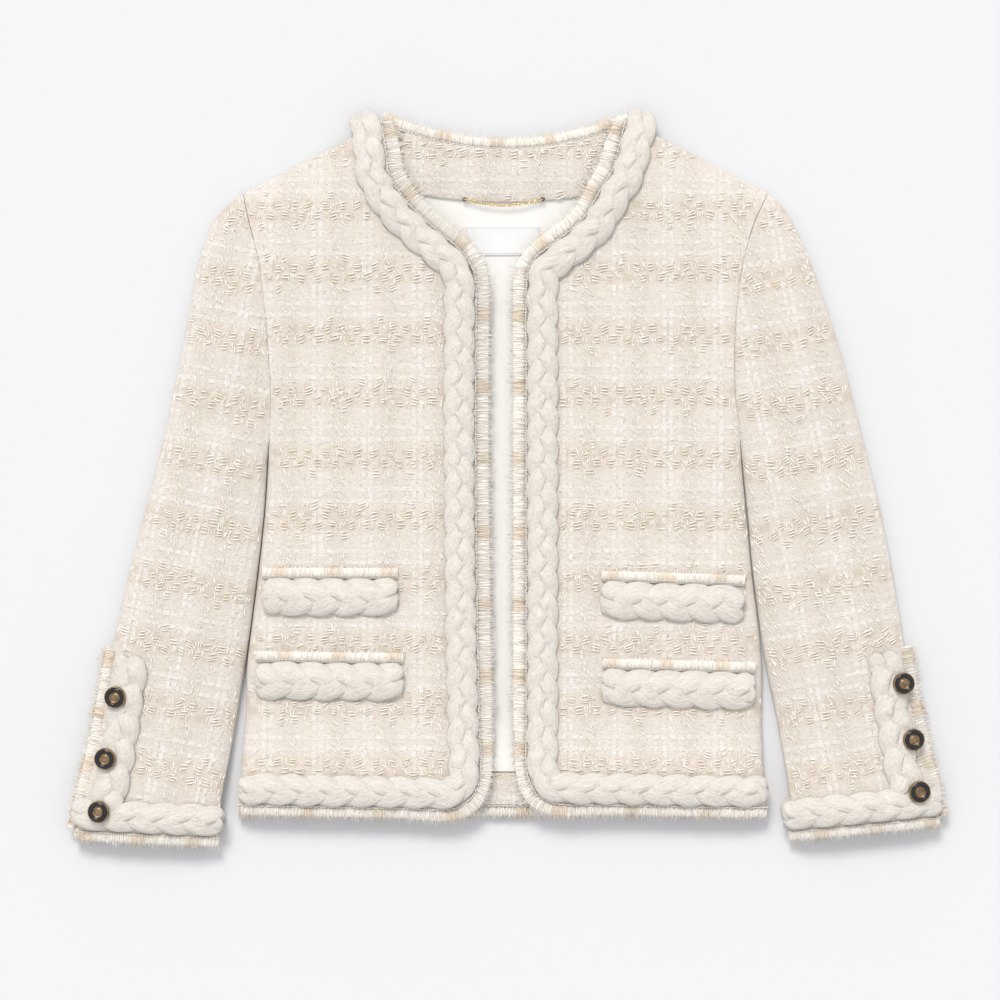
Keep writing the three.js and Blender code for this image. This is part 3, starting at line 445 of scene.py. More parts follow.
def metal(name, light, dark, rough_low, rough_high, scale):
    """A metal with fine turned marks and a little tarnish where it is touched least."""
    n = Nodes(name)
    place_on = n.add("ShaderNodeTexCoord", output=OBJECT_SPACE)
    marks = n.noise(n.stretched(place_on, 2600, 500, 900), scale, 4.0, 0.6)
    tarnish = n.noise(n.stretched(place_on, 260, 260, 260), 1.0, 3.0)
    colour = n.mix(n.ramp(tarnish, 0.4, 0.75), light, dark)
    rough = n.ramp(marks, 0.3, 0.7, rough_low, rough_high)
    return n.finish(Base_Color=colour, Metallic=1.0, Roughness=rough, Normal=n.bump(marks, 0.00008, 0.5))


def enamel(name):
    """Black enamel with faint scuffs under a clear gloss."""
    n = Nodes(name)
    place_on = n.add("ShaderNodeTexCoord", output=OBJECT_SPACE)
    scuffs = n.noise(n.stretched(place_on, 900, 900, 900), 1.0, 4.0)
    colour = n.mix(n.ramp(scuffs, 0.5, 0.8), (0.010, 0.011, 0.014, 1), (0.035, 0.036, 0.040, 1))
    return n.finish(Base_Color=colour, Roughness=n.ramp(scuffs, 0.3, 0.8, 0.10, 0.28),
                    Coat_Weight=0.35, Coat_Roughness=0.08, Specular_IOR_Level=0.3)


TWEED = tweed("ivory_tweed")
# The sleeves' tweed is the body's tweed made a little darker: painted shade.
SHADED_SLEEVE_TWEED = {
    "right": tweed("ivory_tweed_right_sleeve_painted_shade", SLEEVE_TURN, 0.965),
    "left": tweed("ivory_tweed_left_sleeve_painted_shade", -SLEEVE_TURN, 0.965),
}
LINING = plain_cloth("ivory_satin_lining", (0.875, 0.862, 0.825, 1), (0.84, 0.82, 0.78, 1), 0.5, 0.42, 0.1)
LABEL = plain_cloth("white_label_satin", (0.835, 0.835, 0.82, 1), (0.80, 0.80, 0.79, 1), 0.4, 0.5, 0.1)
# The seam beads' tweed, darker than the body's: painted shade in the armhole's valley.
SHADED_SEAM_TWEED = tweed("ivory_tweed_painted_shade_in_seams", 0.0, 0.93)
FLOAT_YARN = float_yarn("shiny_float_yarn")
BRAID = wool("ivory_wool_braid", (0.83, 0.78, 0.71, 1), (0.72, 0.66, 0.585, 1))
THREAD = wool("ivory_sewing_thread", (0.94, 0.91, 0.85, 1), (0.80, 0.74, 0.65, 1))
FRINGE = fringe_yarn("frayed_tweed_yarn", 42.0)
FRONT_FRINGE = fringe_yarn("frayed_tweed_yarn_of_fronts", 55.0)
BRASS = metal("antique_brass", (0.34, 0.235, 0.14, 1), (0.15, 0.105, 0.07, 1), 0.26, 0.5, 1.0)
GOLD = metal("pale_gold", (0.90, 0.70, 0.37, 1), (0.62, 0.46, 0.24, 1), 0.18, 0.34, 1.0)
ENAMEL = enamel("black_enamel")

# ---------------------------------------------------------------- tweed panels and lining
# Soft folds: a line through points in millimetres, how high it stands (or how deep it
# sinks, where negative) and how wide it spreads.
FOLDS = {
    "front_right": [
        ([(-178, 190), (-150, 120), (-138, 60)], -1.3, 9),
        ([(-160, 150), (-170, 90), (-165, 30)], 1.1, 12),
        ([(-60, 120), (-75, 40), (-70, -40)], -0.9, 15),
        ([(-185, 20), (-150, -5), (-110, -10)], 1.0, 12),
        ([(-180, -20), (-140, -45), (-90, -50)], -0.9, 12),
        ([(-120, -110), (-70, -118), (-35, -112)], 0.8, 11),
    ],
    "front_left": [
        ([(172, 186), (148, 118), (136, 58)], -1.2, 9),
        ([(152, 150), (163, 90), (160, 25)], 1.0, 12),
        ([(58, 118), (72, 36), (66, -44)], -0.9, 15),
        ([(182, 16), (148, -8), (108, -16)], 1.0, 12),
        ([(178, -24), (138, -48), (88, -54)], -0.9, 12),
        ([(118, -116), (72, -122), (38, -118)], 0.8, 11),
    ],
    "top_sleeve_right": [
        ([(-195, 150), (-215, 90), (-222, 30)], 1.2, 11),
        ([(-190, 60), (-215, 40), (-240, 50)], -1.1, 9),
        ([(-185, 15), (-215, -10), (-250, -5)], 0.9, 9),
        ([(-200, -40), (-235, -50), (-268, -30)], -0.9, 10),
        ([(-215, -110), (-245, -120), (-280, -100)], 0.8, 10),
        ([(-225, -170), (-255, -178), (-282, -160)], -0.8, 10),
    ],
    "top_sleeve_left": [
        ([(188, 150), (214, 90), (224, 28)], 1.2, 11),
        ([(186, 58), (218, 36), (246, 48)], -1.1, 9),
        ([(184, 12), (216, -14), (256, -8)], 0.9, 9),
        ([(200, -44), (238, -52), (274, -34)], -0.9, 10),
        ([(218, -112), (250, -122), (284, -104)], 0.8, 10),
        ([(228, -172), (260, -178), (288, -162)], -0.8, 10),
    ],
    "back_lining": [
        ([(-30, 150), (-22, 60), (-34, -40)], 0.5, 7),
        ([(18, 140), (26, 40), (16, -60)], 0.5, 8),
        ([(0, -60), (6, -140), (-4, -200)], 0.4, 6),
    ],
    "back": [
        ([(-120, 180), (-90, 60), (-110, -60)], 0.9, 12),
        ([(118, 180), (92, 60), (108, -60)], 0.9, 12),
        ([(-30, 120), (10, 20), (-16, -120)], 0.8, 14),
    ],
    "under_sleeve_right": [([(-215, 120), (-232, 20), (-255, -80)], 0.9, 10)],
    "under_sleeve_left": [([(212, 120), (236, 20), (256, -80)], 0.9, 10)],
}
RIM_SOFTNESS = 0.8  # how firmly a panel's cut edges hold their corner, from 0 to 1
PUCKER = 0.35  # unevenness of the cloth's lie


def fold_height(lines, x, y):
    """Sum of the folds' heights at a place: soft across, and dying out towards their ends."""
    total = 0.0
    here = Vector((x, y))
    for line, height, width in lines:
        nearest, share = 1e9, 0.0
        for k in range(len(line) - 1):
            nearest_here, share_here = closest_on(Vector(line[k]), Vector(line[k + 1]), here)
            if nearest_here < nearest:
                nearest, share = nearest_here, (k + share_here) / (len(line) - 1)
        if nearest < 3 * width:
            fade = math.sin(math.pi * min(1, max(0.06, share))) ** 0.7
            total += height * math.exp(-((nearest / width) ** 2)) * fade
    return total


def closest_on(a, b, p):
    """Distance from p to the stretch a to b, and how far along it the nearest point lies."""
    run = b - a
    share = min(1.0, max(0.0, (p - a).dot(run) / run.length_squared))
    return (p - (a + run * share)).length, share


def cloth(node, material, slot, levels=3, pucker=PUCKER, only_up=False):
    """A panel's cloth: a copy of its solid, smoothed and then creased."""
    mesh = nodes[node].data.copy()
    obj = bpy.data.objects.new(node + "_cloth", mesh)
    scene.collection.objects.link(obj)
    use_only(obj)
    bpy.ops.object.mode_set(mode="EDIT")
    bpy.ops.mesh.select_all(action="SELECT")
    bpy.ops.mesh.remove_doubles(threshold=1e-6)
    bpy.ops.mesh.tris_convert_to_quads(face_threshold=math.pi, shape_threshold=math.pi)
    bpy.ops.object.mode_set(mode="OBJECT")
    shell = bmesh.new()
    shell.from_mesh(mesh)
    crease = shell.edges.layers.float.get("crease_edge") or shell.edges.layers.float.new("crease_edge")
    for edge in shell.edges:
        if edge.calc_face_angle(0) > math.radians(50):
            edge[crease] = RIM_SOFTNESS
    shell.to_mesh(mesh)
    shell.free()
    smooth = obj.modifiers.new("smooth", "SUBSURF")
    smooth.levels = smooth.render_levels = levels
    bpy.ops.object.modifier_apply(modifier=smooth.name)
    folds = FOLDS.get(node, [])
    for vertex in obj.data.vertices:
        x, y = vertex.co.x / MM, vertex.co.y / MM
        rise = fold_height(folds, x, y)
        broad, fine = noise.noise(Vector((x / 26, y / 34, 1.7))), noise.noise(Vector((x / 9, y / 11, 4.1)))
        rise += pucker * (broad + 0.5 * fine)
        vertex.co.z = max(0.0, vertex.co.z + (max(0.0, rise) if only_up else rise) * MM)
    bpy.ops.object.shade_smooth()
    return finish_piece(obj, slot, material, node)


pieces = {}
for side in SIDES:
    pieces[f"front_{side}"] = cloth(f"front_{side}", TWEED, "tweed")
    pieces[f"top_sleeve_{side}"] = cloth(f"top_sleeve_{side}", SHADED_SLEEVE_TWEED[side], "tweed")
    under = f"under_sleeve_{side}"
    pieces[under] = cloth(under, SHADED_SLEEVE_TWEED[side], "tweed", 2, only_up=True)
pieces["back"] = cloth("back", TWEED, "tweed", 2, only_up=True)
pieces["lining"] = cloth("back_lining", LINING, "lining", 2, pucker=0.12, only_up=True)
pieces["neck_facing"] = cloth("back_neck_facing", TWEED, "tweed", pucker=0.1)
pieces["hem_facing"] = cloth("back_hem_facing", TWEED, "tweed", pucker=0.1)

# ---------------------------------------------------------------- plaited braid
trimmed = [name for name in nodes if "braid" in name or "fringe" in name]
trees = {name: body_of_mesh(nodes[name].data) for name in trimmed}


def bottom_of(tree, x, y):
    """Height in millimetres of a surface's underside at a place in millimetres."""
    hit = tree.ray_cast(Vector((x * MM, y * MM, -1)), UP)[0]
    if hit is None:
        level = tree.find_nearest(Vector((x * MM, y * MM, 0)))[0]
        hit = tree.ray_cast(Vector((level.x * 0.999, level.y * 0.999, -1)), UP)[0] or level
    return hit.z / MM


def smoothed(values, reach):
    """Each value replaced by the average of its neighbours up to a reach away."""
    result = []
    for i in range(len(values)):
        window = values[max(0, i - reach):i + reach + 1]
        result.append(sum(window) / len(window))
    return result


def plait(name, line, width, node, step=2.0, start=0.0):
    """Three flattened strands of wool that cross over and under along a line."""
    tree = trees[node]
    line = spaced(line, step)
    strand_width = width * STRAND_SHARE
    swing = (width - strand_width * 0.9) / 2
    sides = 16
    left = beside(line, width * 0.3)
    right = beside(line, -width * 0.3)
    low_left = smoothed([bottom_of(tree, p.x, p.y) for p in left], 3)
    low_right = smoothed([bottom_of(tree, p.x, p.y) for p in right], 3)
    vertices, faces, uvs = [], [], []
    count = len(line)
    total = step * (count - 1)
    randomness = random.Random(name)
    vary = randomness.uniform
    for strand in range(3):
        first = len(vertices)
        centres = []
        lumps = vary(0, 50)
        for i in range(count):
            turn = math.tau * ((i * step + start) / PLAIT_PERIOD + strand / 3)
            along = run_at(line, i).normalized()
            across = Vector((-along.y, along.x))
            slope = (low_left[i] - low_right[i]) / (0.6 * width)
            out = swing * math.sin(turn)
            level = (low_left[i] + low_right[i]) / 2 + STRAND_DEPTH / 2 + 0.8 + 0.9 * math.sin(2 * turn)
            centres.append((Vector((*(line[i].xy + across * out), level + slope * out)), turn))
        spine = [centre for centre, turn in centres]
        for i, (centre, turn) in enumerate(centres):
            along = run_at(spine, i).normalized()
            sideways = UP.cross(along).normalized()
            upward = along.cross(sideways).normalized()
            to_end = min(i * step, total - i * step)
            end = math.sqrt(min(1.0, 0.12 + to_end / 7.0))
            lump = 1 + 0.10 * noise.noise(Vector((i * step / 11, lumps, 0)))
            half = strand_width / 2 * end * lump
            deep = STRAND_DEPTH / 2 * (0.45 + 0.55 * end) * lump
            lean = -0.26 * math.sin(turn)
            for k in range(sides):
                angle = math.tau * k / sides
                flat = math.copysign(abs(math.cos(angle)) ** 0.85, math.cos(angle)) * half
                high = math.copysign(abs(math.sin(angle)) ** 0.9, math.sin(angle)) * deep
                round_it = Vector((i * step / 7, 4.2 * math.cos(angle) + lumps, 4.2 * math.sin(angle)))
                fluff = 0.34 * noise.noise(round_it)
                lifted = upward * (high + flat * math.sin(lean) + fluff)
                p = centre + sideways * (flat * math.cos(lean)) + lifted
                p.z = max(p.z, 0.15)
                vertices.append(p)
                uvs.append((i * step * MM, half * 2.4 * k / sides * MM))
        tube_faces(faces, first, count, sides)
    return finish_piece(piece_from(name, vertices, faces, uvs), "braid", BRAID, node)


def inward(side):
    """Which side of a path that runs down a front its panel lies on."""
    return -1 if side == "right" else 1


def thinned(line, every):
    """Every so many points of a line, and its last."""
    return line[:-every:every] + [line[-1]]


def front_path(side):
    column = 0 if side == "right" else 1
    return [Vector((*place(row[column]), row[2])) for row in FRONT_EDGE]


front_lines = {side: spaced(front_path(side), 2.0) for side in SIDES}
for side in SIDES:
    middle = beside([p.xy for p in front_lines[side]], inward(side) * (BRAID_WIDTH / 2 - 0.1))
    node = f"front_braid_{side}"
    pieces[node] = plait(f"plait_front_{side}", thinned(middle, 5), BRAID_WIDTH, node)

    outer, inner = (place(p) for p in CUFF_EDGE[side])
    end = (inner - outer).normalized()
    up_sleeve = Vector((-end.y, end.x)) if side == "right" else Vector((end.y, -end.x))
    if up_sleeve.y < 0:
        up_sleeve = -up_sleeve
    cuff = [outer + up_sleeve * (BRAID_WIDTH / 2 + 0.5), inner + up_sleeve * (BRAID_WIDTH / 2 + 0.5)]
    cuff = [cuff[0] - end * 2.5, cuff[0].lerp(cuff[1], 0.5), cuff[1] + end * 3.5]
    for layer in ("over", "under"):
        node = f"cuff_braid_{layer}_{side}"
        start = 8 if layer == "over" else 0
        pieces[node] = plait(f"plait_cuff_{layer}_{side}", cuff, BRAID_WIDTH, node, start=start)

    edge = spaced([place(p) for p in VENT_EDGE[side]], 2.0)
    vent = []
    for i in range(1, len(edge) - 10):
        drift = VENT_BRAID_INSET + VENT_BRAID_DRIFT * i / len(edge)
        vent.append(beside(edge[i - 1:i + 2], -inward(side) * drift)[1])
    node = f"vent_braid_{side}"
    pieces[node] = plait(f"plait_vent_{side}", thinned(vent, 4), VENT_BRAID_WIDTH, node)

for pocket, ends in POCKETS.items():
    side = pocket.split("_")[1]
    middle = beside(halved(ends), -inward(side) * POCKET_BRAID_WIDTH / 2)
    node = f"pocket_braid_{pocket}"
    pieces[node] = plait(f"plait_pocket_{pocket}", middle, POCKET_BRAID_WIDTH, node, start=11 * len(pocket))
neck_edge = [place((x, 252 + 20 * (x / 95) ** 2)) for x in (-95, -80, -60, -30, 0, 30, 60, 80, 95)]
neck_middle = beside(spaced(neck_edge, 2.0), -(BRAID_WIDTH / 2 + 1))
pieces["back_neck_braid"] = plait("plait_back_neck", thinned(neck_middle, 5), BRAID_WIDTH, "back_neck_braid")
hem_edge = [place((x, -246)) for x in (-203, -100, 0, 100, 199)]
hem_middle = beside(spaced(hem_edge, 2.0), BRAID_WIDTH / 2 + 1)
pieces["back_hem_braid"] = plait("plait_back_hem", thinned(hem_middle, 10), BRAID_WIDTH, "back_hem_braid")

# ---------------------------------------------------------------- raised yarns of the tweed
# Rows of clusters: height in the tweed's repeat, stagger, and the share of clusters that are there.
FLOAT_ROWS = ((9.0, 0.0, 0.97), (16.6, 6.2, 0.93), (24.0, 2.5, 0.3), (1.5, 4.0, 0.22))
CLUSTER_PITCH = 12.4
CLUSTER_LENGTH = 7.4
FLOAT_PITCH = 2.25
FLOAT_THICK = 1.35
NUB_COLUMN = 24.0  # the place in a stripe's repeat where slanting nubs run up the cloth
NUB_COLUMN_WIDTH = 11.0
NUB_PITCH = 2.3


def raised_yarns(name, panel, turn, cover):
    """Short shiny yarns lying over the weave: clusters of three across the cloth, a short pair
    up it between the clusters, and slanting nubs in columns."""
    tree = body_of_mesh(panel.data)
    turn = math.radians(turn)
    across_way = Vector((math.cos(turn), -math.sin(turn)))
    up_way = Vector((math.sin(turn), math.cos(turn)))
    spots = [Vector(corner).xy / MM for corner in panel.bound_box]
    across_low, *_, across_high = sorted(p.dot(across_way) for p in spots)
    up_low, *_, up_high = sorted(p.dot(up_way) for p in spots)
    randomness = random.Random(name)
    vary = randomness.uniform
    vertices, faces, uvs = [], [], []
    sides, rings = 4, 5

    def yarn(across, up, length, angle, thick):
        across += vary(-0.5, 0.5)
        up += vary(-0.35, 0.35)
        length *= vary(0.75, 1.12)
        angle += vary(-0.12, 0.12)
        way = across_way * math.cos(angle) + up_way * math.sin(angle)
        centre = across_way * across + up_way * up
        bow = vary(-0.35, 0.35)
        points = []
        for j in range(rings):
            share = j / (rings - 1)
            bent = Vector((-way.y, way.x)) * bow * math.sin(math.pi * share)
            p = centre + way * (length * (share - 0.5)) + bent
            hit, normal = tree.ray_cast(Vector((p.x * MM, p.y * MM, 1)), DOWN)[:2]
            if hit is None or normal.z < 0.45:
                return
            if cover and cover.ray_cast(hit + UP * 0.0003, UP, 0.02)[0]:
                return
            rise = -0.25 + 0.85 * math.sin(math.pi * share) ** 0.6
            points.append((Vector((p.x, p.y, hit.z / MM + rise)), normal))
        first = len(vertices)
        for j, (p, normal) in enumerate(points):
            fat = thick / 2 * (0.55 + 0.45 * math.sin(math.pi * j / (rings - 1)))
            side_way = Vector((-way.y, way.x, 0))
            for k in range(sides):
                turn_k = math.tau * (k + 0.5) / sides
                lifted = normal * fat * 0.8 * math.sin(turn_k)
                vertices.append(p + side_way * fat * math.cos(turn_k) + lifted)
                uvs.append((j / (rings - 1) * length * MM, k * thick * MM))
        tube_faces(faces, first, rings, sides)

    for band in range(math.floor(up_low / TWEED_REPEAT), math.ceil(up_high / TWEED_REPEAT) + 1):
        for row_at, offset, there in FLOAT_ROWS:
            cluster = math.floor(across_low / CLUSTER_PITCH) - 1
            while cluster * CLUSTER_PITCH < across_high + CLUSTER_PITCH:
                across = cluster * CLUSTER_PITCH - offset + 4.8 + vary(-1.5, 1.5)
                row_up = band * TWEED_REPEAT + row_at + vary(-1.0, 1.0)
                slant = vary(-0.3, 0.45)
                long = CLUSTER_LENGTH * vary(0.65, 1.1)
                if randomness.random() < there:
                    for j in range(3):
                        if randomness.random() > 0.08:
                            yarn(across, row_up + 0.5 + FLOAT_PITCH * j, long, slant, FLOAT_THICK)
                for j in range(3):
                    if randomness.random() < 0.62 * there:
                        gap = across + CLUSTER_PITCH / 2 + (j - 1) * 1.7
                        upright = math.pi / 2 + vary(-0.35, 0.35)
                        height = row_up + 2.6 + vary(-1.5, 1.5)
                        yarn(gap, height, 5.0, upright, FLOAT_THICK * 0.8)
                cluster += 1
    first_stripe, last_stripe = math.floor(across_low / STRIPE_REPEAT), math.ceil(across_high / STRIPE_REPEAT)
    for stripe in range(first_stripe, last_stripe + 1):
        up = up_low
        while up < up_high:
            if randomness.random() > 0.3:
                at = (stripe * STRIPE_REPEAT + NUB_COLUMN) + vary(-0.5, 0.5) * NUB_COLUMN_WIDTH
                yarn(at, up, vary(3.6, 5.6), randomness.gauss(1.95, 0.25), FLOAT_THICK * 0.85)
            up += NUB_PITCH
    finish_piece(piece_from(name, vertices, faces, uvs), "tweed", FLOAT_YARN)


SEAM_ROWS = [182 - 3.2 * step for step in range(50)]  # up the cloth, from the armhole's top down
SEAM_SEARCH = [130 + 0.25 * k for k in range(520)]  # across it, from inside the front outwards
SEAM_HALF_WIDTH, SEAM_HALF_DEPTH = 1.7, 0.75
SEAM_SINK = 1.25  # below the lower of the two cloths beside it


def seam_bead(side):
    """The turned edges of the armhole's seam, a soft bead at the bottom of its valley, darkened with painted
    shade.
    """
    front = body_of_mesh(pieces[f"front_{side}"].data)
    sleeve = body_of_mesh(pieces[f"top_sleeve_{side}"].data)
    way = inward(side)  # also the sign of X on this side
    points = []
    for y in SEAM_ROWS:
        outside = [x for x in SEAM_SEARCH
                   if front.ray_cast(Vector((way * x * MM, y * MM, 1)), DOWN)[0] is None]
        if not outside:
            continue
        x = outside[0]
        hit = sleeve.ray_cast(Vector((way * (x + 1.4) * MM, y * MM, 1)), DOWN)[0]
        if hit is None:
            continue
        front_top = top_of(front, way * (x - 0.6), y)
        points.append(Vector((way * (x + 0.3), y, min(front_top, hit.z / MM) - SEAM_SINK)))
    line = spaced([p for i, p in enumerate(points) if i % 3 == 0], 3.0)
    vertices, faces = [], []
    sides = 8
    for i, p in enumerate(line):
        along = run_at(line, i).normalized()
        across = UP.cross(along).normalized()
        for k in range(sides):
            angle = math.tau * k / sides
            upward = along.cross(across) * SEAM_HALF_DEPTH * math.sin(angle)
            vertices.append(p + across * SEAM_HALF_WIDTH * math.cos(angle) + upward)
    tube_faces(faces, 0, len(line), sides)
    finish_piece(piece_from(f"armhole_seam_{side}", vertices, faces), "tweed", SHADED_SEAM_TWEED)


def tree_of(*objects):
    """One surface made of several objects."""
    together = bmesh.new()
    for obj in objects:
        together.from_mesh(obj.data)
    tree = BVHTree.FromBMesh(together)
    together.free()
    return tree


for side in SIDES:
    seam_bead(side)
    over_it = [n for n in nodes if n.startswith(("front_braid", "pocket_")) and side in n]
    cover = tree_of(*[nodes[n] for n in over_it])
    raised_yarns(f"raised_yarns_front_{side}", pieces[f"front_{side}"], 0, cover)
    cover = tree_of(nodes[f"vent_braid_{side}"], nodes[f"cuff_braid_over_{side}"])
    turn = SLEEVE_TURN if side == "right" else -SLEEVE_TURN
    raised_yarns(f"raised_yarns_sleeve_{side}", pieces[f"top_sleeve_{side}"], turn, cover)
raised_yarns("raised_yarns_neck_facing", pieces["neck_facing"], 0, None)
raised_yarns("raised_yarns_hem_facing", pieces["hem_facing"], 0, None)

# ---------------------------------------------------------------- frayed fringes
YARN_STEP = 1.0  # between neighbouring yarn ends
YARN_THICK = 1.0
FRINGE_THICK = 2
YARN_LAYERS = (-0.35, 0.35, 1.0)  # heights above the middle of the strip
FRINGE_REACH = {"cuff": 10, "vent": 8, "over_vent": 14, "pocket": 9.5, "back_neck": 10, "back_hem": 10.5}
OVER_VENT_INSET = 6.5  # of the second vent fringe, from the sleeve's edge
NECK_TOP = place((0, 273)).y  # above it the front fringe is turned under


def fringe(name, edge, outward, reach_at, tree, material, node=None):
    """Frayed cloth past an edge: a thin woven strip, and over it three layers of loose yarns."""
    edge = spaced(edge, YARN_STEP)
    randomness = random.Random(name)
    vary = randomness.uniform
    vertices, faces, uvs = [], [], []
    sides, count = 3, len(edge)
    ways = []
    for i in range(count):
        along = run_at(edge, i).xy.normalized()
        ways.append(Vector((-along.y, along.x)) * outward)
    levels = smoothed([top_of(tree, *(p.xy + w * 3)) - FRINGE_THICK / 2 for p, w in zip(edge, ways)], 4)

    def tube(points, radius, u):
        first = len(vertices)
        for j, p in enumerate(points):
            along = run_at(points, j).normalized()
            sideways = along.cross(UP).normalized()
            upward = sideways.cross(along)
            thin = radius * (0.55 if j == len(points) - 1 else 1)
            for k in range(sides):
                angle = math.tau * (k + 0.5) / sides
                corner = p + sideways * thin * math.cos(angle) + upward * thin * math.sin(angle)
                corner.z = max(corner.z, 0.1)
                vertices.append(corner)
                uvs.append((u * MM, j / len(points) * 10 * MM + k * 0.0003))
        tube_faces(faces, first, len(points), sides, flip=True)

    for i in range(count):
        start, way, level = edge[i].xy, ways[i], levels[i]
        reach = reach_at(i / (count - 1), edge[i])
        for far, high in ((-0.6, -0.35), (reach * 0.78, -0.45), (reach * 0.78, 0.1), (-0.6, 0.4)):
            p = start + way * far
            vertices.append(Vector((p.x, p.y, max(0.1, level + high))))
            uvs.append((i * YARN_STEP * MM, far * MM))
    tube_faces(faces, 0, count, 4, flip=outward > 0)

    for layer, high in enumerate(YARN_LAYERS):
        for i in range(count):
            if randomness.random() < 0.06:
                continue
            shift = (layer - 1) * 0.3 * YARN_STEP + vary(-0.3, 0.3)
            way = ways[i]
            along = Vector((way.y, -way.x))
            reach = reach_at(i / (count - 1), edge[i])
            uneven = 1 + 0.2 * noise.noise(Vector((i * YARN_STEP / 9, layer * 7.3, len(name))))
            length = reach * uneven * randomness.triangular(0.5, 1.1, 0.95) - layer * 0.4
            lean = 2.2 * noise.noise(Vector((i * YARN_STEP / 6, 3.1 * layer, 9)))
            lean += vary(-1.4, 1.4)
            wisp = randomness.random() < 0.14
            if wisp:
                length = reach * vary(1.05, 1.28)
                lean *= 2.2
            start = edge[i].xy + along * shift + way * (0.2 if layer else -0.4)
            points = []
            for share in (0.0, 0.35, 0.7, 1.0):
                p = start + way * (length * share) + along * (lean * share * share)
                lift = high * (1 - 0.6 * share) + vary(-0.12, 0.12) - 0.3 * share * share
                points.append(Vector((p.x, p.y, levels[i] + lift)))
            thick = YARN_THICK * (0.45 if wisp else vary(0.75, 1.15))
            tube(points, thick / 2, i * YARN_STEP)
    return finish_piece(piece_from(name, vertices, faces, uvs), "fringe", material, *([node] if node else []))


def steady(reach):
    """A fringe of the same reach all along."""
    return lambda share, point: reach


for side in SIDES:
    out = -inward(side)
    shown = [p for p in front_lines[side] if p.y < NECK_TOP]
    node = f"front_fringe_{side}"
    pieces[node] = fringe(f"fringe_front_{side}", beside(shown, out * SEAM_GAP), out,
                          lambda share, point: point.z, trees[node], FRONT_FRINGE, node)
    for layer in ("over", "under"):
        node = f"cuff_fringe_{layer}_{side}"
        pieces[node] = fringe(f"fringe_cuff_{layer}_{side}", halved(CUFF_EDGE[side]), inward(side),
                              steady(FRINGE_REACH["cuff"]), trees[node], FRINGE, node)
    vent = [place(p) for p in VENT_EDGE[side]]
    node = f"vent_fringe_{side}"
    pieces[node] = fringe(f"fringe_vent_{side}", vent, inward(side), steady(FRINGE_REACH["vent"]),
                          trees[node], FRINGE, node)
    over = beside(spaced(vent, 2.0), out * OVER_VENT_INSET)[:-3]
    sleeve_tree = body_of_mesh(pieces[f"top_sleeve_{side}"].data)
    fringe(f"fringe_vent_over_{side}", over, inward(side), steady(FRINGE_REACH["over_vent"]),
           sleeve_tree, FRINGE)

for pocket, ends in POCKETS.items():
    side = pocket.split("_")[1]
    node = f"pocket_fringe_{pocket}"
    pieces[node] = fringe(f"fringe_pocket_{pocket}", halved(ends), inward(side),
                          steady(FRINGE_REACH["pocket"]), trees[node], FRINGE, node)
for part, edge, gap, outward in (("back_neck", neck_edge, 0.4, 1), ("back_hem", hem_edge, -0.3, -1)):
    node = f"{part}_fringe"
    pieces[node] = fringe(f"fringe_{part}", beside(spaced(edge, 2.0), gap), outward,
                          steady(FRINGE_REACH[part]), trees[node], FRINGE, node)

# ---------------------------------------------------------------- sewing thread
STITCH_PITCH = 2.5
# Half of a stitch's length, width and height.
SMALL_STITCH = (1.45, 0.62, 0.5)
FRONT_STITCH = (1.75, 0.85, 0.6)
BACK_STITCH = (1.75, 0.9, 0.6)
LABEL_STITCH = (0.8, 0.22, 0.18)
LABEL_STITCH_PITCH = 2.2
LABEL_MARGIN = (1.2, 1.6)  # from the label's edges to the ends of its stitches


def stitches(name, line, tree, lift, pitch=STITCH_PITCH, size=SMALL_STITCH):
    """A row of chain stitches along a line, each a small leaning loop of thread."""
    line = spaced(line, pitch)
    long, wide, tall = size
    vertices, faces, uvs = [], [], []
    rings, sides = 5, 5
    for i, p in enumerate(line):
        along = run_at(line, i).xy.normalized()
        across = Vector((-along.y, along.x))
        lean = 0.22 if i % 2 else -0.22
        centre = Vector((*p.xy, top_of(tree, p.x, p.y) + lift))
        first = len(vertices)
        for j in range(rings):
            share = -1 + 2 * j / (rings - 1)
            fat = math.sqrt(max(0.04, 1 - share * share))
            for k in range(sides):
                angle = math.tau * k / sides
                side_way = across * (wide * fat * math.cos(angle) + lean * long * share)
                forward = along * (long * share)
                high = tall * (fat * math.sin(angle) - 0.5 * share * share)
                vertices.append(centre + Vector((*(forward + side_way), high)))
                uvs.append((share * 0.002, k * 0.0006))
        tube_faces(faces, first, rings, sides)
    finish_piece(piece_from(name, vertices, faces, uvs), "fringe", THREAD)


for side in SIDES:
    out = -inward(side)
    shown = [p.xy for p in front_lines[side] if p.y < NECK_TOP]
    stitches(f"stitches_front_{side}", beside(shown, out * 0.8),
             tree_of(pieces[f"front_fringe_{side}"]), 0.65, size=FRONT_STITCH)
    line = beside([place(p) for p in CUFF_EDGE[side]], inward(side) * 1.4)
    stitches(f"stitches_cuff_{side}", line, tree_of(pieces[f"cuff_fringe_over_{side}"]), 0.25)
for pocket, ends in POCKETS.items():
    side = pocket.split("_")[1]
    line = beside([place(p) for p in ends], inward(side) * 1.4)
    stitches(f"stitches_pocket_{pocket}", line, tree_of(pieces[f"pocket_fringe_{pocket}"]), 0.25)
for part, edge, gap in (("back_neck", neck_edge, 0.9), ("back_hem", hem_edge, -0.9)):
    stitches(f"stitches_{part}", beside(spaced(edge, 2.0), gap), tree_of(pieces[f"{part}_fringe"]), 0.65,
             size=BACK_STITCH)

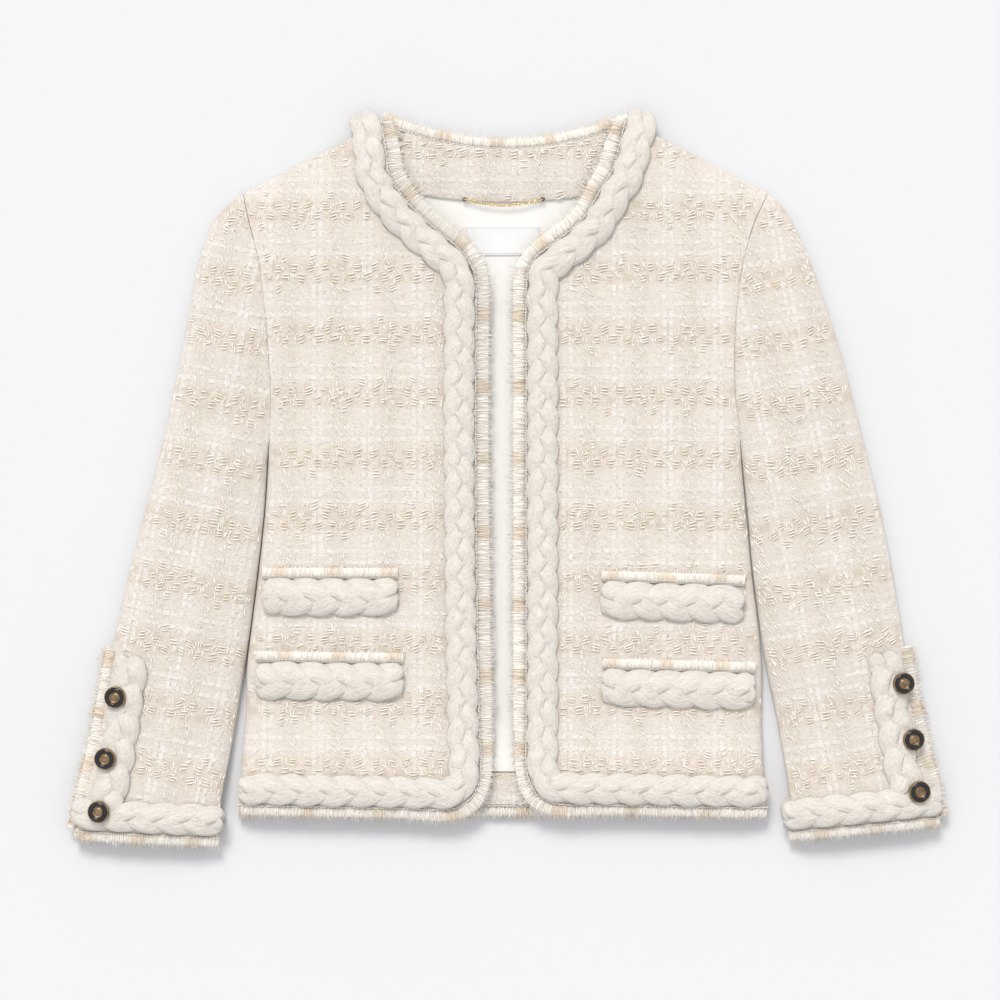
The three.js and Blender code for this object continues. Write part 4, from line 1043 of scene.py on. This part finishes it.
# ---------------------------------------------------------------- label and hanger chain
pieces["label"] = cloth("label", LABEL, "label_cloth", levels=3, pucker=0.15)
label_low, label_high = (Vector(v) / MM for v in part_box("label"))
label_tree = tree_of(pieces["label"])
for part, y in (("low", label_low.y + LABEL_MARGIN[1]), ("high", label_high.y - LABEL_MARGIN[1])):
    line = [Vector((label_low.x + LABEL_MARGIN[0], y)), Vector((label_high.x - LABEL_MARGIN[0], y))]
    stitches(f"stitches_label_{part}", line, label_tree, 0.12, LABEL_STITCH_PITCH, LABEL_STITCH)


def new_edit(kind, **settings):
    """Adds a primitive and opens it in edit mode with all of it selected."""
    if bpy.context.object and bpy.context.object.mode != "OBJECT":
        bpy.ops.object.mode_set(mode="OBJECT")
    bpy.ops.object.select_all(action="DESELECT")
    getattr(bpy.ops.mesh, f"primitive_{kind}_add")(**settings)
    bpy.ops.object.mode_set(mode="EDIT")
    bpy.ops.mesh.select_all(action="SELECT")
    return bpy.context.object


def place_mesh(obj, turn, shift):
    """Puts an object's turn and place into its mesh."""
    obj.data.transform(turn.to_matrix().to_4x4())
    obj.data.transform(Matrix.Translation(shift))


def chain_link(length, width, wire):
    """One oval link of round wire, in metres, lying flat."""
    link = new_edit("torus", major_radius=width / 2 - wire / 2, minor_radius=wire / 2,
                    major_segments=16, minor_segments=8)
    for way in (1, -1):
        bpy.ops.mesh.select_all(action="DESELECT")
        shape = bmesh.from_edit_mesh(link.data)
        for vertex in shape.verts:
            vertex.select = vertex.co.x * way > 1e-6
        shape.select_flush_mode()
        bmesh.update_edit_mesh(link.data)
        bpy.ops.transform.translate(value=(way * (length - width) / 2, 0, 0))
    bpy.ops.object.mode_set(mode="OBJECT")
    bpy.ops.object.shade_smooth()
    return link


def joined(name, parts):
    bpy.ops.object.select_all(action="DESELECT")
    for part in parts:
        part.select_set(True)
    bpy.context.view_layer.objects.active = parts[0]
    bpy.ops.object.join()
    parts[0].name = name
    return parts[0]


def copy_of(obj):
    twin = obj.copy()
    twin.data = obj.data.copy()
    scene.collection.objects.link(twin)
    return twin


LINK_PITCH = 0.0021
LINK_LEAN = 38  # degrees, one way and then the other
chain_low, chain_high = (Vector(v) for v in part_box("hanger_chain"))
link = chain_link(0.0034, 0.0023, 0.0006)
sag = chain_high.y - chain_low.y - 0.0022
ends_y = chain_high.y - 0.0011
half_span = (chain_high.x - chain_low.x) / 2
middle_x = (chain_high.x + chain_low.x) / 2
level = (chain_low.z + chain_high.z) / 2
link_count = round(2 * half_span / LINK_PITCH)
links = []
for i in range(link_count + 1):
    share = -1 + 2 * i / link_count
    slope = math.atan2(2 * sag * share, half_span)
    one = copy_of(link)
    lean = math.radians(LINK_LEAN if i % 2 else -LINK_LEAN)
    turn = Matrix.Rotation(slope, 3, "Z") @ Matrix.Rotation(lean, 3, "X")
    at = Vector((middle_x + share * half_span, ends_y - sag * (1 - share**2), level))
    place_mesh(one, turn.to_quaternion(), at)
    links.append(one)
bpy.data.objects.remove(link)
finish_piece(joined("chain_of_links", links), "gold_chain", GOLD, "hanger_chain")
for i, way in enumerate((-1, 1)):
    ring = chain_link(0.0036, 0.0032, 0.0008)
    at = Vector((middle_x + way * (half_span + 0.0018), ends_y, level - 0.0003))
    place_mesh(ring, Matrix.Identity(3).to_quaternion(), at)
    finish_piece(ring, "black_enamel", ENAMEL).name = f"chain_end_ring_{i + 1}"

# ---------------------------------------------------------------- cuff buttons
BUTTON_TILT = 10  # degrees, facing away from the body
# The button's turned section above its back: radius and height in millimetres.
BUTTON_BACK = 7.2
BUTTON_STEPS = [
    (8.1, 0.5), (8.4, 1.2), (8.4, 2.5), (8.2, 3.4), (7.8, 3.9), (7.5, 4.0),
    (7.3, 3.7), (7.2, 3.0), (4.5, 3.0), (4.45, 3.7), (4.2, 4.1), (3.9, 3.9),
    (3.7, 3.3), (3.3, 3.1), (2.9, 3.15), (2.6, 3.4), (1.2, 3.45),
]
ENAMEL_RADIUS, ENAMEL_WIRE, ENAMEL_HEIGHT = 5.85, 1.3, 3.35


def turned_button():
    """The metal button: a disc drawn up and in, step by step, into rim, groove and dished face."""
    button = new_edit("circle", vertices=56, radius=BUTTON_BACK * MM, fill_type="NGON")
    radius, height = BUTTON_BACK, 0.0
    for next_radius, next_height in BUTTON_STEPS:
        rise = (next_height - height) * MM
        bpy.ops.mesh.extrude_region_move(TRANSFORM_OT_translate={"value": (0, 0, rise)})
        grow = next_radius / radius
        bpy.ops.transform.resize(value=(grow, grow, 1))
        radius, height = next_radius, next_height
    bpy.ops.mesh.inset(thickness=0.5 * MM)
    bpy.ops.mesh.select_all(action="SELECT")
    bpy.ops.mesh.normals_make_consistent(inside=False)
    bpy.ops.object.mode_set(mode="OBJECT")
    soften = button.modifiers.new("soften", "BEVEL")
    soften.width = 0.12 * MM
    soften.segments = 2
    soften.limit_method = "ANGLE"
    bpy.ops.object.modifier_apply(modifier=soften.name)
    bpy.ops.object.shade_smooth_by_angle(angle=math.radians(50))
    return button


def enamel_ring():
    """The ring of enamel let into the groove: a flattened round section with a flat back."""
    ring = new_edit("torus", major_radius=ENAMEL_RADIUS * MM, minor_radius=ENAMEL_WIRE * MM,
                    major_segments=56, minor_segments=14)
    bpy.ops.mesh.bisect(plane_co=(0, 0, -0.2 * MM), plane_no=(0, 0, 1), clear_inner=True, use_fill=True)
    bpy.ops.mesh.select_all(action="SELECT")
    bpy.ops.transform.resize(value=(1, 1, 0.66))
    bpy.ops.mesh.normals_make_consistent(inside=False)
    bpy.ops.object.mode_set(mode="OBJECT")
    bpy.ops.object.shade_smooth_by_angle(angle=math.radians(60))
    ring.data.transform(Matrix.Translation((0, 0, ENAMEL_HEIGHT * MM)))
    return ring


button_master, ring_master = turned_button(), enamel_ring()
for side in SIDES:
    tilt = Matrix.Rotation(math.radians(BUTTON_TILT) * inward(side), 3, "Y")
    for number in (1, 2, 3):
        low, high = (Vector(v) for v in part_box(f"button_{side}_{number}"))
        middle_height = Vector((0, 0, BUTTON_STEPS[4][1] / 2 * MM))
        seat = (low + high) / 2 - tilt @ middle_height
        for master, slot, material, node in ((button_master, "antique_brass", BRASS, "button"),
                                             (ring_master, "black_enamel", ENAMEL, "button_ring")):
            twin = copy_of(master)
            place_mesh(twin, tilt.to_quaternion(), seat)
            twin.name = f"{node}_{side}_{number}_finished"
            finish_piece(twin, slot, material, f"{node}_{side}_{number}")
bpy.data.objects.remove(button_master)
bpy.data.objects.remove(ring_master)

# ---------------------------------------------------------------- floor, light and camera
floor = new_edit("plane", size=8, location=(0, 0, -0.0002))
bpy.ops.object.mode_set(mode="OBJECT")
floor.name = "floor"
ground = Nodes("pale_floor")
mottle = ground.noise(ground.add("ShaderNodeTexCoord", output=OBJECT_SPACE), 3.0, 2.0)
shade = ground.mix(mottle, (0.708, 0.708, 0.716, 1), (0.716, 0.716, 0.724, 1))
floor.data.materials.append(ground.finish(Base_Color=shade, Roughness=0.95, Specular_IOR_Level=0.1))

SKY_COLOUR, SKY_STRENGTH = (0.97, 0.98, 1.0, 1), 0.865
world = bpy.data.worlds.new("soft_studio")
world.use_nodes = True
background = world.node_tree.nodes["Background"].inputs
background[0].default_value = SKY_COLOUR
background[1].default_value = SKY_STRENGTH
scene.world = world

KEY_SOFTNESS = 0.36  # the angle that the light fills, in radians
KEY_POWER = 2.02
KEY_COLOUR = (1.0, 0.985, 0.965)
KEY_AIM = Vector((0.25, -1.0, -1.05))
key = bpy.data.lights.new("key", "SUN")
key.angle = KEY_SOFTNESS
key.energy = KEY_POWER
key.color = KEY_COLOUR
key_light = bpy.data.objects.new("key", key)
key_light.rotation_euler = KEY_AIM.to_track_quat("-Z", "Y").to_euler()
scene.collection.objects.link(key_light)

CAMERA_LENS, CAMERA_SENSOR = 110, 36
CLOTH_HEIGHT = 0.01
FRAME_WIDTH = 0.76  # metres across the view, at the height of the cloth
camera_data = bpy.data.cameras.new("camera")
camera_data.lens = CAMERA_LENS
camera_data.sensor_width = CAMERA_SENSOR
camera = bpy.data.objects.new("camera", camera_data)
camera.location = (-0.0055, -0.0162, FRAME_WIDTH * CAMERA_LENS / CAMERA_SENSOR + CLOTH_HEIGHT)
scene.collection.objects.link(camera)
scene.camera = camera
